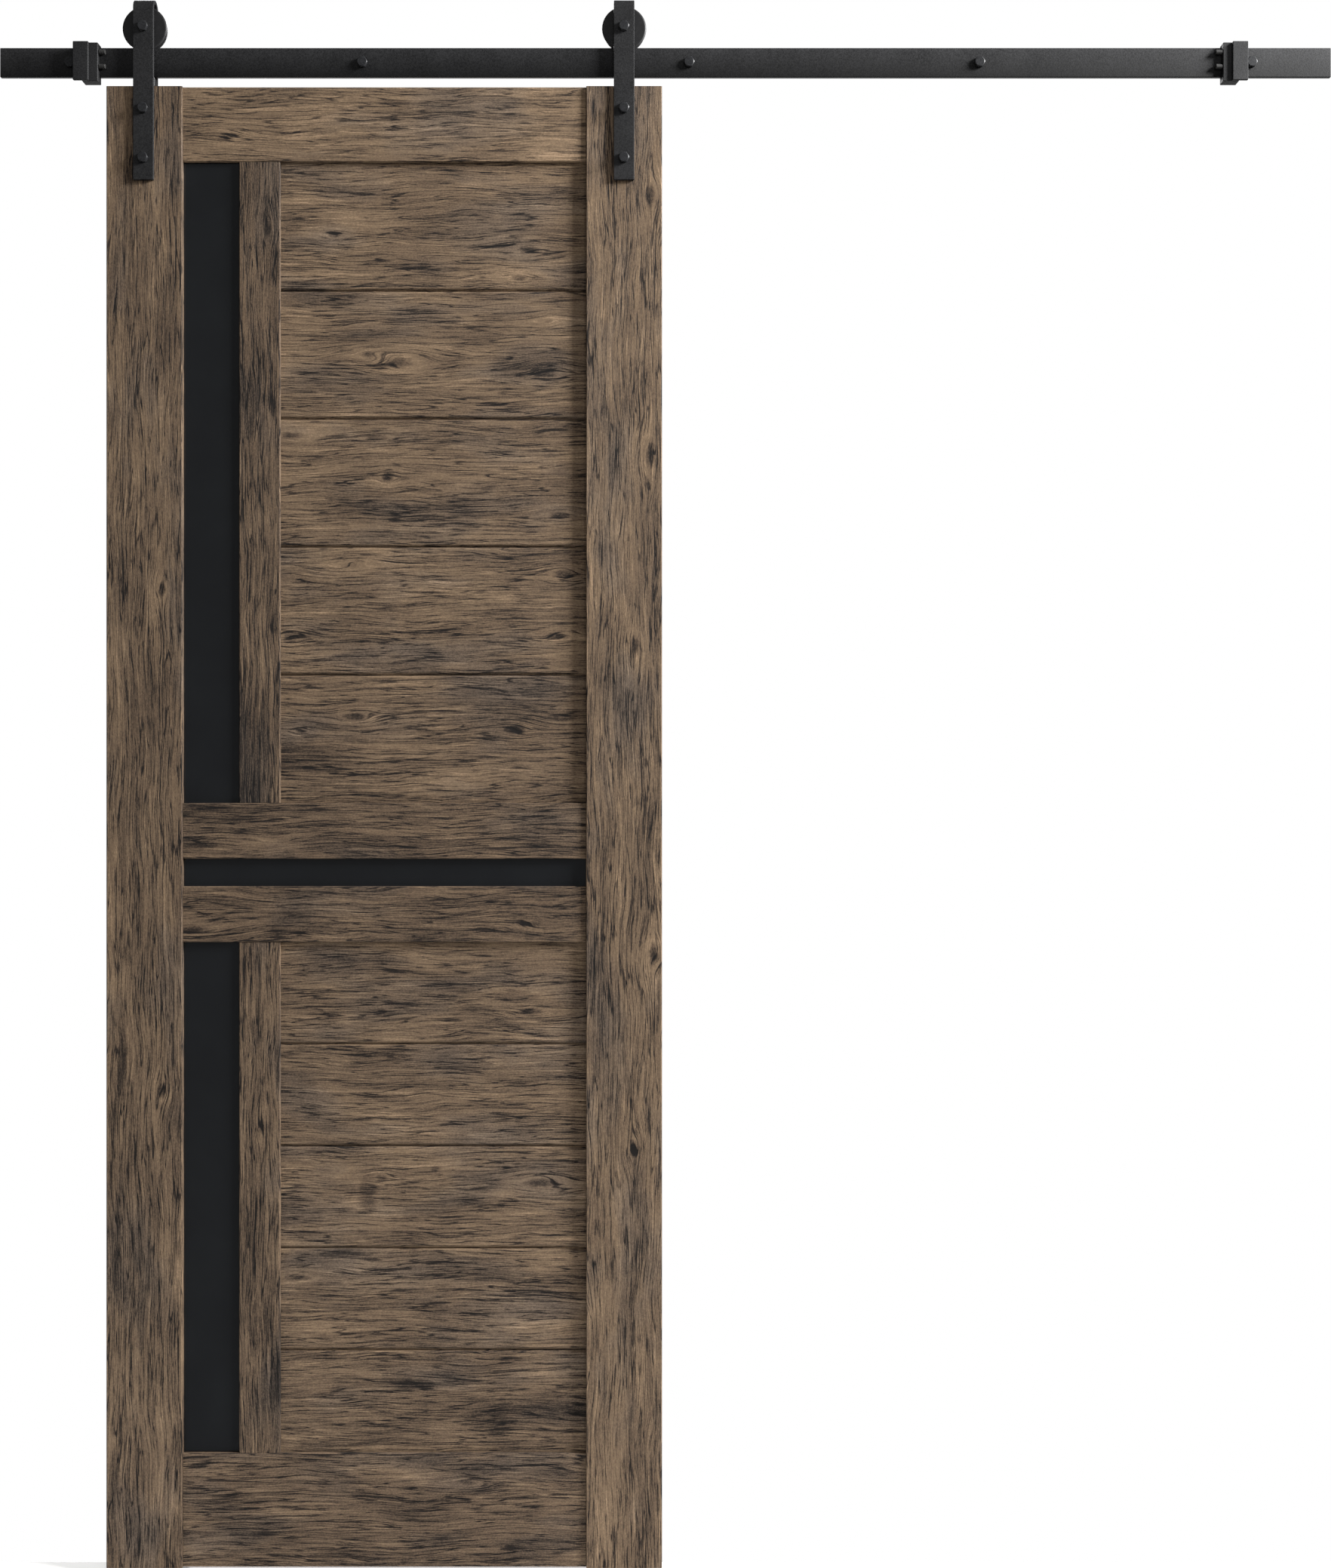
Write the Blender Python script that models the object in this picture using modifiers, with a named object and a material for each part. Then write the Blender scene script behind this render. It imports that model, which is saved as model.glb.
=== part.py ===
"""A sliding barn door: the wall track, its two strap hangers, the stops and the door leaf they carry.

Metres, +Z up. The origin is on the wall, at the middle of the track. The door hangs in front of
the wall and looks along -Y, so its left side is towards -X. It is modelled where it hangs at rest,
near the left end of the track.
"""

import math

import bmesh
import bpy
from mathutils import Matrix, Vector

# Fits
FACE_GAP = 0.0003
HOLE_CLEARANCE = 0.0003
WELD = 0.000001
ROUND_STEPS = 20
SMOOTH_ANGLE = math.radians(30)

# Hex bolts, the same head everywhere
HEX_FLATS = 0.013
HEX_HEIGHT = 0.005
HEX_CHAMFER = 0.0006
BOLT_RADIUS = 0.004

# Track: a flat bar held off the wall by spacers
RAIL_LENGTH = 1.829
RAIL_HEIGHT = 0.040
RAIL_THICKNESS = 0.00635
RAIL_EDGE = 0.0006
SPACER_LENGTH = 0.032
SPACER_RADIUS = 0.008
LAG_INSET_LEFT = 0.0966
LAG_INSET_RIGHT = 0.1095
LAG_OFFSETS = (0.0, -0.0042, 0.0389, 0.0321, 0.0)  # off an even pitch, to meet the studs
LAG_GRIP = 0.020
LAG_POINT = 0.010

# Stops: a body that the rail passes through, a plate on its front and two bumpers
STOP_INSET_LEFT = 0.1368
STOP_INSET_RIGHT = 0.1505
STOP_HEIGHT = 0.053
STOP_DROP = 0.0019
STOP_BODY_WIDTH = 0.022
STOP_FRONT_WALL = 0.008
STOP_BACK_WALL = 0.002
STOP_PLATE_WIDTH = 0.0212
STOP_PLATE_THICKNESS = 0.0045
STOP_PLATE_STEP = 0.0118
STOP_EDGE = 0.0006
BUMPER_RADIUS = 0.00325
BUMPER_LENGTH = 0.0095
BUMPER_EDGE = 0.0006
BUMPER_PIN_RADIUS = 0.0015
BUMPER_PIN_LENGTH = 0.006
BUMPER_HEIGHTS = (0.0125, -0.0072)

# Wheels: a tread that rolls on the rail's top edge, between a deep and a shallow flange
ROLLING_RADIUS = 0.025
GROOVE_SIDE_CLEARANCE = 0.0006
GROOVE_DRAFT = 0.0008
FRONT_FLANGE_RADIUS = 0.0304
FRONT_FLANGE_THICKNESS = 0.0034
BACK_FLANGE_RADIUS = 0.0284
BACK_FLANGE_THICKNESS = 0.0026
FLANGE_EDGE = 0.001
WHEEL_STEPS = 40
BEARING_RADIUS = 0.011
BEARING_WIDTH = 0.007
BEARING_LIP = 0.002
SLEEVE_WALL = 0.002

# Hangers: an inverted U of flat steel over each wheel, its front leg bolted to a stile
STRAP_WIDTH = 0.028
STRAP_THICKNESS = 0.005
STRAP_EDGE = 0.0005
STRAP_CLEARANCE = 0.0006
WHEEL_SIDE_GAP = 0.0008
WHEEL_HEADROOM = 0.0044
STRAP_ON_DOOR = 0.1297
BACK_LEG_DIP = 0.003
BEND_STEPS = 16
DOOR_BOLT_DROPS = (0.032, 0.100)
AXLE_NUT_HEIGHT = 0.006
THREAD_PAST_NUT = 0.0015
BARREL_WALL = 0.0017
BARREL_LENGTH = 0.018
BARREL_RIM = 0.003
BARREL_HEAD_HEIGHT = 0.0022

# Anti-jump blocks, on the door's top under the rail, with a lip behind it
JUMP_CLEARANCE = 0.002
JUMP_LIP_THICKNESS = 0.0067
JUMP_LIP_GAP = 0.001
JUMP_LIP_RISE = 0.0045

# Door leaf
DOOR_WIDTH = 0.762
DOOR_HEIGHT = 2.032
DOOR_THICKNESS = 0.035
DOOR_GAP = 0.0145
DOOR_START = 0.1477
STILE_WIDTH = 0.104
TOP_RAIL_HEIGHT = 0.102
MID_RAIL_HEIGHT = 0.0765
BOTTOM_RAIL_HEIGHT = 0.156
UPPER_PANEL_HEIGHT = 0.881
GLASS_STRIP_HEIGHT = 0.038
GLASS_WIDTH = 0.077
MULLION_WIDTH = 0.0565
RAIL_RECESS = 0.004
MULLION_RECESS = 0.005
MEMBER_EDGE = 0.001
PANEL_THICKNESS = 0.015
GROOVE_DEPTH = 0.010
PANEL_GRIP = 0.008
PLANKS_PER_PANEL = 5
PLANK_BEVEL = 0.0033
TONGUE_THICKNESS = 0.004
TONGUE_HEIGHT = 0.005
GLASS_EDGE = 0.0005

# Where the pieces above put each other
RAIL_LEFT_X = -RAIL_LENGTH / 2
RAIL_TOP_Z = RAIL_HEIGHT / 2
RAIL_BACK_Y = -SPACER_LENGTH - FACE_GAP
RAIL_MID_Y = RAIL_BACK_Y - RAIL_THICKNESS / 2
RAIL_FRONT_Y = RAIL_BACK_Y - RAIL_THICKNESS
HOLE_RADIUS = BOLT_RADIUS + HOLE_CLEARANCE
HEX_RADIUS = HEX_FLATS / math.sqrt(3)
BARREL_RADIUS = HOLE_RADIUS + BARREL_WALL
BARREL_HEAD_RADIUS = BARREL_RADIUS + BARREL_RIM

GROOVE_HALF = RAIL_THICKNESS / 2 + GROOVE_SIDE_CLEARANCE
AXLE_Z = RAIL_TOP_Z + ROLLING_RADIUS + FACE_GAP
FRONT_REACH = RAIL_THICKNESS / 2 + FACE_GAP + HEX_HEIGHT + STRAP_CLEARANCE
BACK_REACH = GROOVE_HALF + BACK_FLANGE_THICKNESS + WHEEL_SIDE_GAP
STRAP_BACK_Y = RAIL_MID_Y - FRONT_REACH
STRAP_FRONT_Y = STRAP_BACK_Y - STRAP_THICKNESS
BACK_LEG_OUTER_Y = RAIL_MID_Y + BACK_REACH + STRAP_THICKNESS
BEND_RADIUS = (FRONT_REACH + BACK_REACH) / 2
BEND_Y = RAIL_MID_Y + (BACK_REACH - FRONT_REACH) / 2
BEND_Z = AXLE_Z + FRONT_FLANGE_RADIUS + WHEEL_HEADROOM - BEND_RADIUS

DOOR_LEFT_X = RAIL_LEFT_X + DOOR_START
DOOR_RIGHT_X = DOOR_LEFT_X + DOOR_WIDTH
DOOR_MID_X = DOOR_LEFT_X + DOOR_WIDTH / 2
DOOR_TOP_Z = -RAIL_HEIGHT / 2 - DOOR_GAP
DOOR_BOTTOM_Z = DOOR_TOP_Z - DOOR_HEIGHT
DOOR_FRONT_Y = STRAP_BACK_Y + FACE_GAP
DOOR_MID_Y = DOOR_FRONT_Y + DOOR_THICKNESS / 2
DOOR_BACK_Y = DOOR_FRONT_Y + DOOR_THICKNESS
HANGER_XS = {"left": DOOR_LEFT_X + STILE_WIDTH / 2, "right": DOOR_RIGHT_X - STILE_WIDTH / 2}

OPENING_LEFT_X = DOOR_LEFT_X + STILE_WIDTH
OPENING_RIGHT_X = DOOR_RIGHT_X - STILE_WIDTH
MULLION_LEFT_X = OPENING_LEFT_X + GLASS_WIDTH
PLANKS_LEFT_X = MULLION_LEFT_X + MULLION_WIDTH
UPPER_PANEL_TOP_Z = DOOR_TOP_Z - TOP_RAIL_HEIGHT
UPPER_PANEL_BOTTOM_Z = UPPER_PANEL_TOP_Z - UPPER_PANEL_HEIGHT
STRIP_TOP_Z = UPPER_PANEL_BOTTOM_Z - MID_RAIL_HEIGHT
STRIP_BOTTOM_Z = STRIP_TOP_Z - GLASS_STRIP_HEIGHT
LOWER_PANEL_TOP_Z = STRIP_BOTTOM_Z - MID_RAIL_HEIGHT
LOWER_PANEL_BOTTOM_Z = DOOR_BOTTOM_Z + BOTTOM_RAIL_HEIGHT
PANEL_SLOT = PANEL_THICKNESS + 2 * FACE_GAP
TENON_LENGTH = GROOVE_DEPTH - FACE_GAP

# Turns that lay a piece made along its own Z, or an outline drawn in its own XY, where it belongs
FACING_FRONT = (math.radians(90), 0, 0)
OUTLINE_ALONG_X = (math.radians(90), 0, math.radians(90))
OUTLINE_ALONG_Z = (0, 0, math.radians(-90))

MATERIALS = {
    # name: (colour, roughness, metallic)
    "black_steel": ((0.028, 0.029, 0.030), 0.55, 0.4),
    "black_fastener": ((0.036, 0.037, 0.039), 0.45, 0.6),
    "bearing_steel": ((0.50, 0.50, 0.50), 0.25, 1.0),
    "black_nylon": ((0.024, 0.024, 0.025), 0.5, 0.0),
    "rubber": ((0.030, 0.030, 0.030), 0.8, 0.0),
    "rustic_oak": ((0.130, 0.090, 0.058), 0.7, 0.0),
    "black_glass": ((0.006, 0.006, 0.007), 0.08, 0.0),
}


def clear_scene():
    for obj in list(bpy.data.objects):
        bpy.data.objects.remove(obj, do_unlink=True)


def add_collection(name, hidden=False):
    collection = bpy.data.collections.new(name)
    collection.hide_render = hidden
    bpy.context.scene.collection.children.link(collection)
    return collection


def add_material(name):
    colour, roughness, metallic = MATERIALS[name]
    material = bpy.data.materials.new(name)
    material.use_nodes = True
    shader = material.node_tree.nodes["Principled BSDF"]
    shader.inputs["Base Color"].default_value = (*colour, 1)
    shader.inputs["Roughness"].default_value = roughness
    shader.inputs["Metallic"].default_value = metallic
    return material


def add_empty(name, place, parent=None):
    empty = bpy.data.objects.new(name, None)
    empty.empty_display_size = 0.05
    empty.location = place
    PARTS.objects.link(empty)
    ride(empty, parent)
    return empty


def ride(obj, parent):
    """Parents the object and leaves its location in world coordinates."""
    if parent is None:
        return
    obj.parent = parent
    obj.matrix_parent_inverse = Matrix.Translation(parent.location).inverted()


def add_part(obj, material, parent):
    obj.data.materials.clear()
    obj.data.materials.append(SLOTS[material])
    PARTS.objects.link(obj)
    ride(obj, parent)
    return obj


def add_cutter(obj):
    obj.hide_render = True
    obj.display_type = "WIRE"
    CUTTERS.objects.link(obj)
    return obj


def mesh_object(name, form):
    mesh = bpy.data.meshes.new(name)
    form.to_mesh(mesh)
    form.free()
    return bpy.data.objects.new(name, mesh)


def as_mesh(source):
    """Turns what the source evaluates to into a mesh object of the same name, place and turn."""
    bpy.context.scene.collection.objects.link(source)
    graph = bpy.context.evaluated_depsgraph_get()
    mesh = bpy.data.meshes.new_from_object(source.evaluated_get(graph))
    form = bmesh.new()
    form.from_mesh(mesh)
    bmesh.ops.remove_doubles(form, verts=form.verts, dist=WELD)
    form.to_mesh(mesh)
    form.free()
    mesh.shade_smooth()
    mesh.set_sharp_from_angle(angle=SMOOTH_ANGLE)
    name = source.name
    made = bpy.data.objects.new(name, mesh)
    made.location = source.location
    made.rotation_euler = source.rotation_euler
    bpy.data.objects.remove(source, do_unlink=True)
    made.name = name
    return made


def box(name, low, high):
    """A box between two corners, with its origin in its middle."""
    low = Vector(low)
    high = Vector(high)
    form = bmesh.new()
    bmesh.ops.create_cube(form, size=1)
    bmesh.ops.scale(form, vec=high - low, verts=form.verts)
    obj = mesh_object(name, form)
    obj.location = (low + high) / 2
    return obj


def turned(name, profile, place, turn=FACING_FRONT, steps=ROUND_STEPS, ring=False):
    """Turns a profile of (radius, height) points, outer side from top to bottom, about its own Z."""
    form = bmesh.new()
    points = [form.verts.new((radius, 0, height)) for radius, height in profile]
    for first, second in zip(points, points[1:]):
        form.edges.new((first, second))
    if ring:
        form.edges.new((points[-1], points[0]))
    obj = mesh_object(name, form)
    obj.location = place
    obj.rotation_euler = turn
    screw = obj.modifiers.new("turn", "SCREW")
    screw.steps = steps
    screw.render_steps = steps
    screw.use_merge_vertices = True
    screw.merge_threshold = WELD
    return as_mesh(obj)


def outlined(name, points, length, place, turn=OUTLINE_ALONG_X):
    """Fills an outline drawn in its own XY and extrudes it along its own Z, half each way."""
    curve = bpy.data.curves.new(name, "CURVE")
    curve.dimensions = "2D"
    curve.fill_mode = "BOTH"
    curve.extrude = length / 2
    spline = curve.splines.new("POLY")
    spline.points.add(len(points) - 1)
    for point, (across, up) in zip(spline.points, points):
        point.co = (across, up, 0, 1)
    spline.use_cyclic_u = True
    obj = bpy.data.objects.new(name, curve)
    obj.location = place
    obj.rotation_euler = turn
    return as_mesh(obj)


def bevel(obj, width, segments=1):
    modifier = obj.modifiers.new("edges", "BEVEL")
    modifier.width = width
    modifier.segments = segments
    modifier.limit_method = "ANGLE"
    modifier.angle_limit = math.radians(50)


def boolean(obj, other, operation="DIFFERENCE"):
    modifier = obj.modifiers.new(other.name, "BOOLEAN")
    modifier.operation = operation
    modifier.object = add_cutter(other)


def bore(obj, name, radius, start, end):
    """Drills a round hole from start to end. An end that opens the hole lies past the face."""
    start = Vector(start)
    end = Vector(end)
    run = end - start
    half = run.length / 2
    profile = [(0, half), (radius, half), (radius, -half), (0, -half)]
    turn = run.to_track_quat("Z", "Y").to_euler()
    boolean(obj, turned(name, profile, (start + end) / 2, turn))


def hex_bolt(name, length, point, place):
    """A hex bolt whose head stands on the place and whose shank runs towards the wall."""
    head = [
        (0, HEX_HEIGHT),
        (HEX_RADIUS - HEX_CHAMFER, HEX_HEIGHT),
        (HEX_RADIUS, HEX_HEIGHT - HEX_CHAMFER),
        (HEX_RADIUS, 0),
        (0, 0),
    ]
    shank = [
        (0, HEX_HEIGHT / 2),
        (BOLT_RADIUS, HEX_HEIGHT / 2),
        (BOLT_RADIUS, point - length),
        (0, -length),
    ]
    obj = turned(name, head, place, steps=6)
    boolean(obj, turned(name + "_shank", shank, place), "UNION")
    return obj


def lag_places():
    """Where the lag screws stand along the rail: an even pitch, each moved to its stud."""
    first = RAIL_LEFT_X + LAG_INSET_LEFT
    last = -RAIL_LEFT_X - LAG_INSET_RIGHT
    pitch = (last - first) / (len(LAG_OFFSETS) - 1)
    return [first + pitch * index + offset for index, offset in enumerate(LAG_OFFSETS)]


def build_track(root):
    rail = box(
        "track_rail",
        (RAIL_LEFT_X, RAIL_FRONT_Y, -RAIL_TOP_Z),
        (-RAIL_LEFT_X, RAIL_BACK_Y, RAIL_TOP_Z),
    )
    bevel(rail, RAIL_EDGE)
    add_part(rail, "black_steel", root)
    for index, x in enumerate(lag_places(), 1):
        front = RAIL_FRONT_Y - FACE_GAP
        bore(rail, f"rail_hole_{index}", HOLE_RADIUS, (x, front - HEX_HEIGHT, 0), (x, 0, 0))
        add_part(spacer(f"wall_spacer_{index}", x), "black_steel", root)
        length = LAG_GRIP - front
        screw = hex_bolt(f"lag_screw_{index}", length, LAG_POINT, (x, front, 0))
        add_part(screw, "black_fastener", root)


def spacer(name, x):
    profile = [
        (HOLE_RADIUS, SPACER_LENGTH),
        (SPACER_RADIUS, SPACER_LENGTH),
        (SPACER_RADIUS, 0),
        (HOLE_RADIUS, 0),
    ]
    return turned(name, profile, (x, 0, 0), ring=True)


def build_stop(side, inset, root):
    """One end stop. The side is -1 at the left end of the rail and 1 at the right end."""
    label = "left" if side < 0 else "right"
    face_x = side * (-RAIL_LEFT_X - inset)
    slot_front_y = RAIL_FRONT_Y - FACE_GAP
    slot_back_y = RAIL_BACK_Y + FACE_GAP
    front_y = slot_front_y - STOP_FRONT_WALL
    bottom_z = -STOP_DROP - STOP_HEIGHT / 2
    top_z = bottom_z + STOP_HEIGHT

    outer_x = face_x + side * STOP_BODY_WIDTH
    low_x, high_x = sorted((face_x, outer_x))
    body = box(
        f"{label}_stop_body",
        (low_x, front_y, bottom_z),
        (high_x, slot_back_y + STOP_BACK_WALL, top_z),
    )
    bevel(body, STOP_EDGE)
    slot = box(
        f"{label}_stop_slot",
        (low_x - STOP_BODY_WIDTH, slot_front_y, -RAIL_TOP_Z - FACE_GAP),
        (high_x + STOP_BODY_WIDTH, slot_back_y, RAIL_TOP_Z + FACE_GAP),
    )
    boolean(body, slot)
    add_part(body, "black_steel", root)

    near_x = face_x + side * STOP_PLATE_STEP
    low_x, high_x = sorted((near_x, near_x + side * STOP_PLATE_WIDTH))
    plate = box(
        f"{label}_stop_plate",
        (low_x, front_y - FACE_GAP - STOP_PLATE_THICKNESS, bottom_z),
        (high_x, front_y - FACE_GAP, top_z),
    )
    bevel(plate, STOP_EDGE)
    add_part(plate, "black_steel", root)

    profile = [
        (0, BUMPER_LENGTH),
        (BUMPER_RADIUS - BUMPER_EDGE, BUMPER_LENGTH),
        (BUMPER_RADIUS, BUMPER_LENGTH - BUMPER_EDGE),
        (BUMPER_RADIUS, FACE_GAP),
        (BUMPER_PIN_RADIUS, FACE_GAP),
        (BUMPER_PIN_RADIUS, -BUMPER_PIN_LENGTH),
        (0, -BUMPER_PIN_LENGTH),
    ]
    turn = (0, math.radians(-90) * side, 0)
    pin_hole = BUMPER_PIN_RADIUS + HOLE_CLEARANCE
    hole_depth = BUMPER_PIN_LENGTH + FACE_GAP
    for level, z in zip(("upper", "lower"), BUMPER_HEIGHTS):
        place = Vector((face_x, (front_y + slot_front_y) / 2, z))
        outside = place - Vector((side * BUMPER_LENGTH, 0, 0))
        inside = place + Vector((side * hole_depth, 0, 0))
        bore(body, f"{label}_stop_{level}_hole", pin_hole, outside, inside)
        bumper = turned(f"{label}_{level}_bumper", profile, place, turn)
        add_part(bumper, "rubber", root)


def build_wheel(label, x, parent):
    """The grooved wheel and its bearing, about the axle at the wheel's own origin."""
    place = (x, RAIL_MID_Y, AXLE_Z)
    axis = add_empty(f"{label}_wheel_axis", place, parent)
    front = GROOVE_HALF + FRONT_FLANGE_THICKNESS
    back = -GROOVE_HALF - BACK_FLANGE_THICKNESS
    seat_radius = BEARING_RADIUS + FACE_GAP
    seat_front = BEARING_WIDTH / 2 + FACE_GAP
    profile = [
        (BEARING_RADIUS - BEARING_LIP, front),
        (FRONT_FLANGE_RADIUS - FLANGE_EDGE, front),
        (FRONT_FLANGE_RADIUS, front - FLANGE_EDGE),
        (FRONT_FLANGE_RADIUS, GROOVE_HALF + GROOVE_DRAFT),
        (ROLLING_RADIUS, GROOVE_HALF),
        (ROLLING_RADIUS, -GROOVE_HALF),
        (BACK_FLANGE_RADIUS, -GROOVE_HALF - GROOVE_DRAFT),
        (BACK_FLANGE_RADIUS, back + FLANGE_EDGE),
        (BACK_FLANGE_RADIUS - FLANGE_EDGE, back),
        (seat_radius, back),
        (seat_radius, seat_front),
        (BEARING_RADIUS - BEARING_LIP, seat_front),
    ]
    wheel = turned(f"{label}_wheel", profile, place, steps=WHEEL_STEPS, ring=True)
    add_part(wheel, "black_nylon", axis)

    sleeve = HOLE_RADIUS + SLEEVE_WALL
    half = BEARING_WIDTH / 2
    profile = [
        (HOLE_RADIUS, FRONT_REACH - FACE_GAP),
        (sleeve, FRONT_REACH - FACE_GAP),
        (sleeve, half),
        (BEARING_RADIUS, half),
        (BEARING_RADIUS, -half),
        (sleeve, -half),
        (sleeve, FACE_GAP - BACK_REACH),
        (HOLE_RADIUS, FACE_GAP - BACK_REACH),
    ]
    bearing = turned(f"{label}_wheel_bearing", profile, place, ring=True)
    add_part(bearing, "bearing_steel", axis)


def arc(radius, start, end, steps):
    """Points on a circle about the bend's middle, as (Y, Z) from it."""
    for step in range(steps + 1):
        angle = math.radians(start + (end - start) * step / steps)
        yield (radius * math.cos(angle), radius * math.sin(angle))


def build_strap(label, x, parent):
    """The U of flat steel, drawn from the side about the middle of its bend."""
    outer = BEND_RADIUS + STRAP_THICKNESS
    front_end = DOOR_TOP_Z - STRAP_ON_DOOR - BEND_Z
    back_end = RAIL_TOP_Z - BACK_LEG_DIP - BEND_Z
    outline = [(-outer, front_end)]
    outline += arc(outer, 180, 0, BEND_STEPS)
    outline += [(outer, back_end), (BEND_RADIUS, back_end)]
    outline += arc(BEND_RADIUS, 0, 180, BEND_STEPS)
    outline += [(-BEND_RADIUS, front_end)]
    strap = outlined(f"{label}_hanger_strap", outline, STRAP_WIDTH, (x, BEND_Y, BEND_Z))
    bevel(strap, STRAP_EDGE)
    front_y = STRAP_FRONT_Y - HEX_HEIGHT
    axle_end = (x, BACK_LEG_OUTER_Y + HEX_HEIGHT, AXLE_Z)
    bore(strap, f"{label}_axle_hole", HOLE_RADIUS, (x, front_y, AXLE_Z), axle_end)
    for level, drop in zip(("upper", "lower"), DOOR_BOLT_DROPS):
        z = DOOR_TOP_Z - drop
        start = (x, front_y, z)
        bore(strap, f"{label}_{level}_strap_hole", HOLE_RADIUS, start, (x, DOOR_MID_Y, z))
    add_part(strap, "black_steel", parent)


def build_axle(label, x, parent):
    head_y = STRAP_FRONT_Y - FACE_GAP
    nut_y = BACK_LEG_OUTER_Y + FACE_GAP
    length = nut_y + AXLE_NUT_HEIGHT + THREAD_PAST_NUT - head_y
    bolt = hex_bolt(f"{label}_axle_bolt", length, 0, (x, head_y, AXLE_Z))
    add_part(bolt, "black_fastener", parent)
    profile = [
        (0, 0),
        (HEX_RADIUS, 0),
        (HEX_RADIUS, HEX_CHAMFER - AXLE_NUT_HEIGHT),
        (HEX_RADIUS - HEX_CHAMFER, -AXLE_NUT_HEIGHT),
        (0, -AXLE_NUT_HEIGHT),
    ]
    nut = turned(f"{label}_axle_nut", profile, (x, nut_y, AXLE_Z), steps=6)
    start = (x, nut_y - AXLE_NUT_HEIGHT, AXLE_Z)
    end = (x, nut_y + 2 * AXLE_NUT_HEIGHT, AXLE_Z)
    bore(nut, f"{label}_axle_nut_hole", HOLE_RADIUS, start, end)
    add_part(nut, "black_fastener", parent)


def build_door_bolt(label, level, x, z, stile, parent):
    """A bolt through strap and stile into a barrel nut let into the door's back."""
    head_y = STRAP_FRONT_Y - FACE_GAP
    bolt_end_y = DOOR_BACK_Y - 3 * FACE_GAP
    name = f"{label}_{level}"
    bolt = hex_bolt(f"{name}_door_bolt", bolt_end_y - head_y, 0, (x, head_y, z))
    add_part(bolt, "black_fastener", parent)
    profile = [
        (0, 0),
        (HOLE_RADIUS, 0),
        (HOLE_RADIUS, BARREL_LENGTH),
        (BARREL_RADIUS, BARREL_LENGTH),
        (BARREL_RADIUS, -FACE_GAP),
        (BARREL_HEAD_RADIUS, -FACE_GAP),
        (BARREL_HEAD_RADIUS, -BARREL_HEAD_HEIGHT),
        (0, -BARREL_HEAD_HEIGHT),
    ]
    nut = turned(f"{name}_barrel_nut", profile, (x, DOOR_BACK_Y, z))
    add_part(nut, "black_fastener", parent)
    wide = BARREL_RADIUS + HOLE_CLEARANCE
    step = BARREL_LENGTH + FACE_GAP
    front = DOOR_THICKNESS + HEX_HEIGHT
    profile = [
        (0, front),
        (HOLE_RADIUS, front),
        (HOLE_RADIUS, step),
        (wide, step),
        (wide, -HEX_HEIGHT),
        (0, -HEX_HEIGHT),
    ]
    boolean(stile, turned(f"{name}_stepped_hole", profile, (x, DOOR_BACK_Y, z)))


def build_anti_jump(label, x, parent):
    """A block under the rail whose lip rises behind it, drawn from the side as (Y, Z)."""
    foot = DOOR_TOP_Z + FACE_GAP
    top = -RAIL_TOP_Z - JUMP_CLEARANCE
    lip_y = RAIL_BACK_Y + JUMP_LIP_GAP
    back_y = lip_y + JUMP_LIP_THICKNESS
    lip_top = -RAIL_TOP_Z + JUMP_LIP_RISE
    outline = [
        (DOOR_FRONT_Y, foot),
        (back_y, foot),
        (back_y, lip_top),
        (lip_y, lip_top),
        (lip_y, top),
        (DOOR_FRONT_Y, top),
    ]
    block = outlined(f"{label}_anti_jump_block", outline, STRAP_WIDTH, (x, 0, 0))
    bevel(block, STRAP_EDGE)
    add_part(block, "black_nylon", parent)


def edge_outline(width, thickness, grooved):
    """The low edge of a frame member's section, as (depth, across) from its middle."""
    deep = thickness / 2
    far = width / 2
    slot = PANEL_SLOT / 2
    points = [(-deep, MEMBER_EDGE - far), (MEMBER_EDGE - deep, -far)]
    if grooved:
        floor = GROOVE_DEPTH - far
        points += [(-slot, -far), (-slot, floor), (slot, floor), (slot, -far)]
    return points + [(deep - MEMBER_EDGE, -far), (deep, MEMBER_EDGE - far)]


def member(name, low, high, recess, grooves, upright, tenons, parent):
    """A stile, rail or mullion between two (X, Z) corners.

    The grooves name its low and high edge, and the tenons run on from both of its ends.
    """
    low_x, low_z = low
    high_x, high_z = high
    thickness = DOOR_THICKNESS - 2 * recess
    across = high_x - low_x if upright else high_z - low_z
    length = high_z - low_z if upright else high_x - low_x
    outline = edge_outline(across, thickness, grooves[0])
    outline += [(-depth, -far) for depth, far in edge_outline(across, thickness, grooves[1])]
    middle = ((low_x + high_x) / 2, DOOR_MID_Y, (low_z + high_z) / 2)
    turn = OUTLINE_ALONG_Z if upright else OUTLINE_ALONG_X
    end_gap = FACE_GAP if tenons else 0
    obj = outlined(name, outline, length - 2 * end_gap, middle, turn)
    if tenons:
        trim = [GROOVE_DEPTH if grooved else 0 for grooved in grooves]
        front = DOOR_MID_Y - PANEL_THICKNESS / 2
        back = DOOR_MID_Y + PANEL_THICKNESS / 2
        if upright:
            start = (low_x + trim[0], front, low_z - TENON_LENGTH)
            end = (high_x - trim[1], back, high_z + TENON_LENGTH)
        else:
            start = (low_x - TENON_LENGTH, front, low_z + trim[0])
            end = (high_x + TENON_LENGTH, back, high_z - trim[1])
        boolean(obj, box(name + "_tenon", start, end), "UNION")
    return add_part(obj, "rustic_oak", parent)


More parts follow.
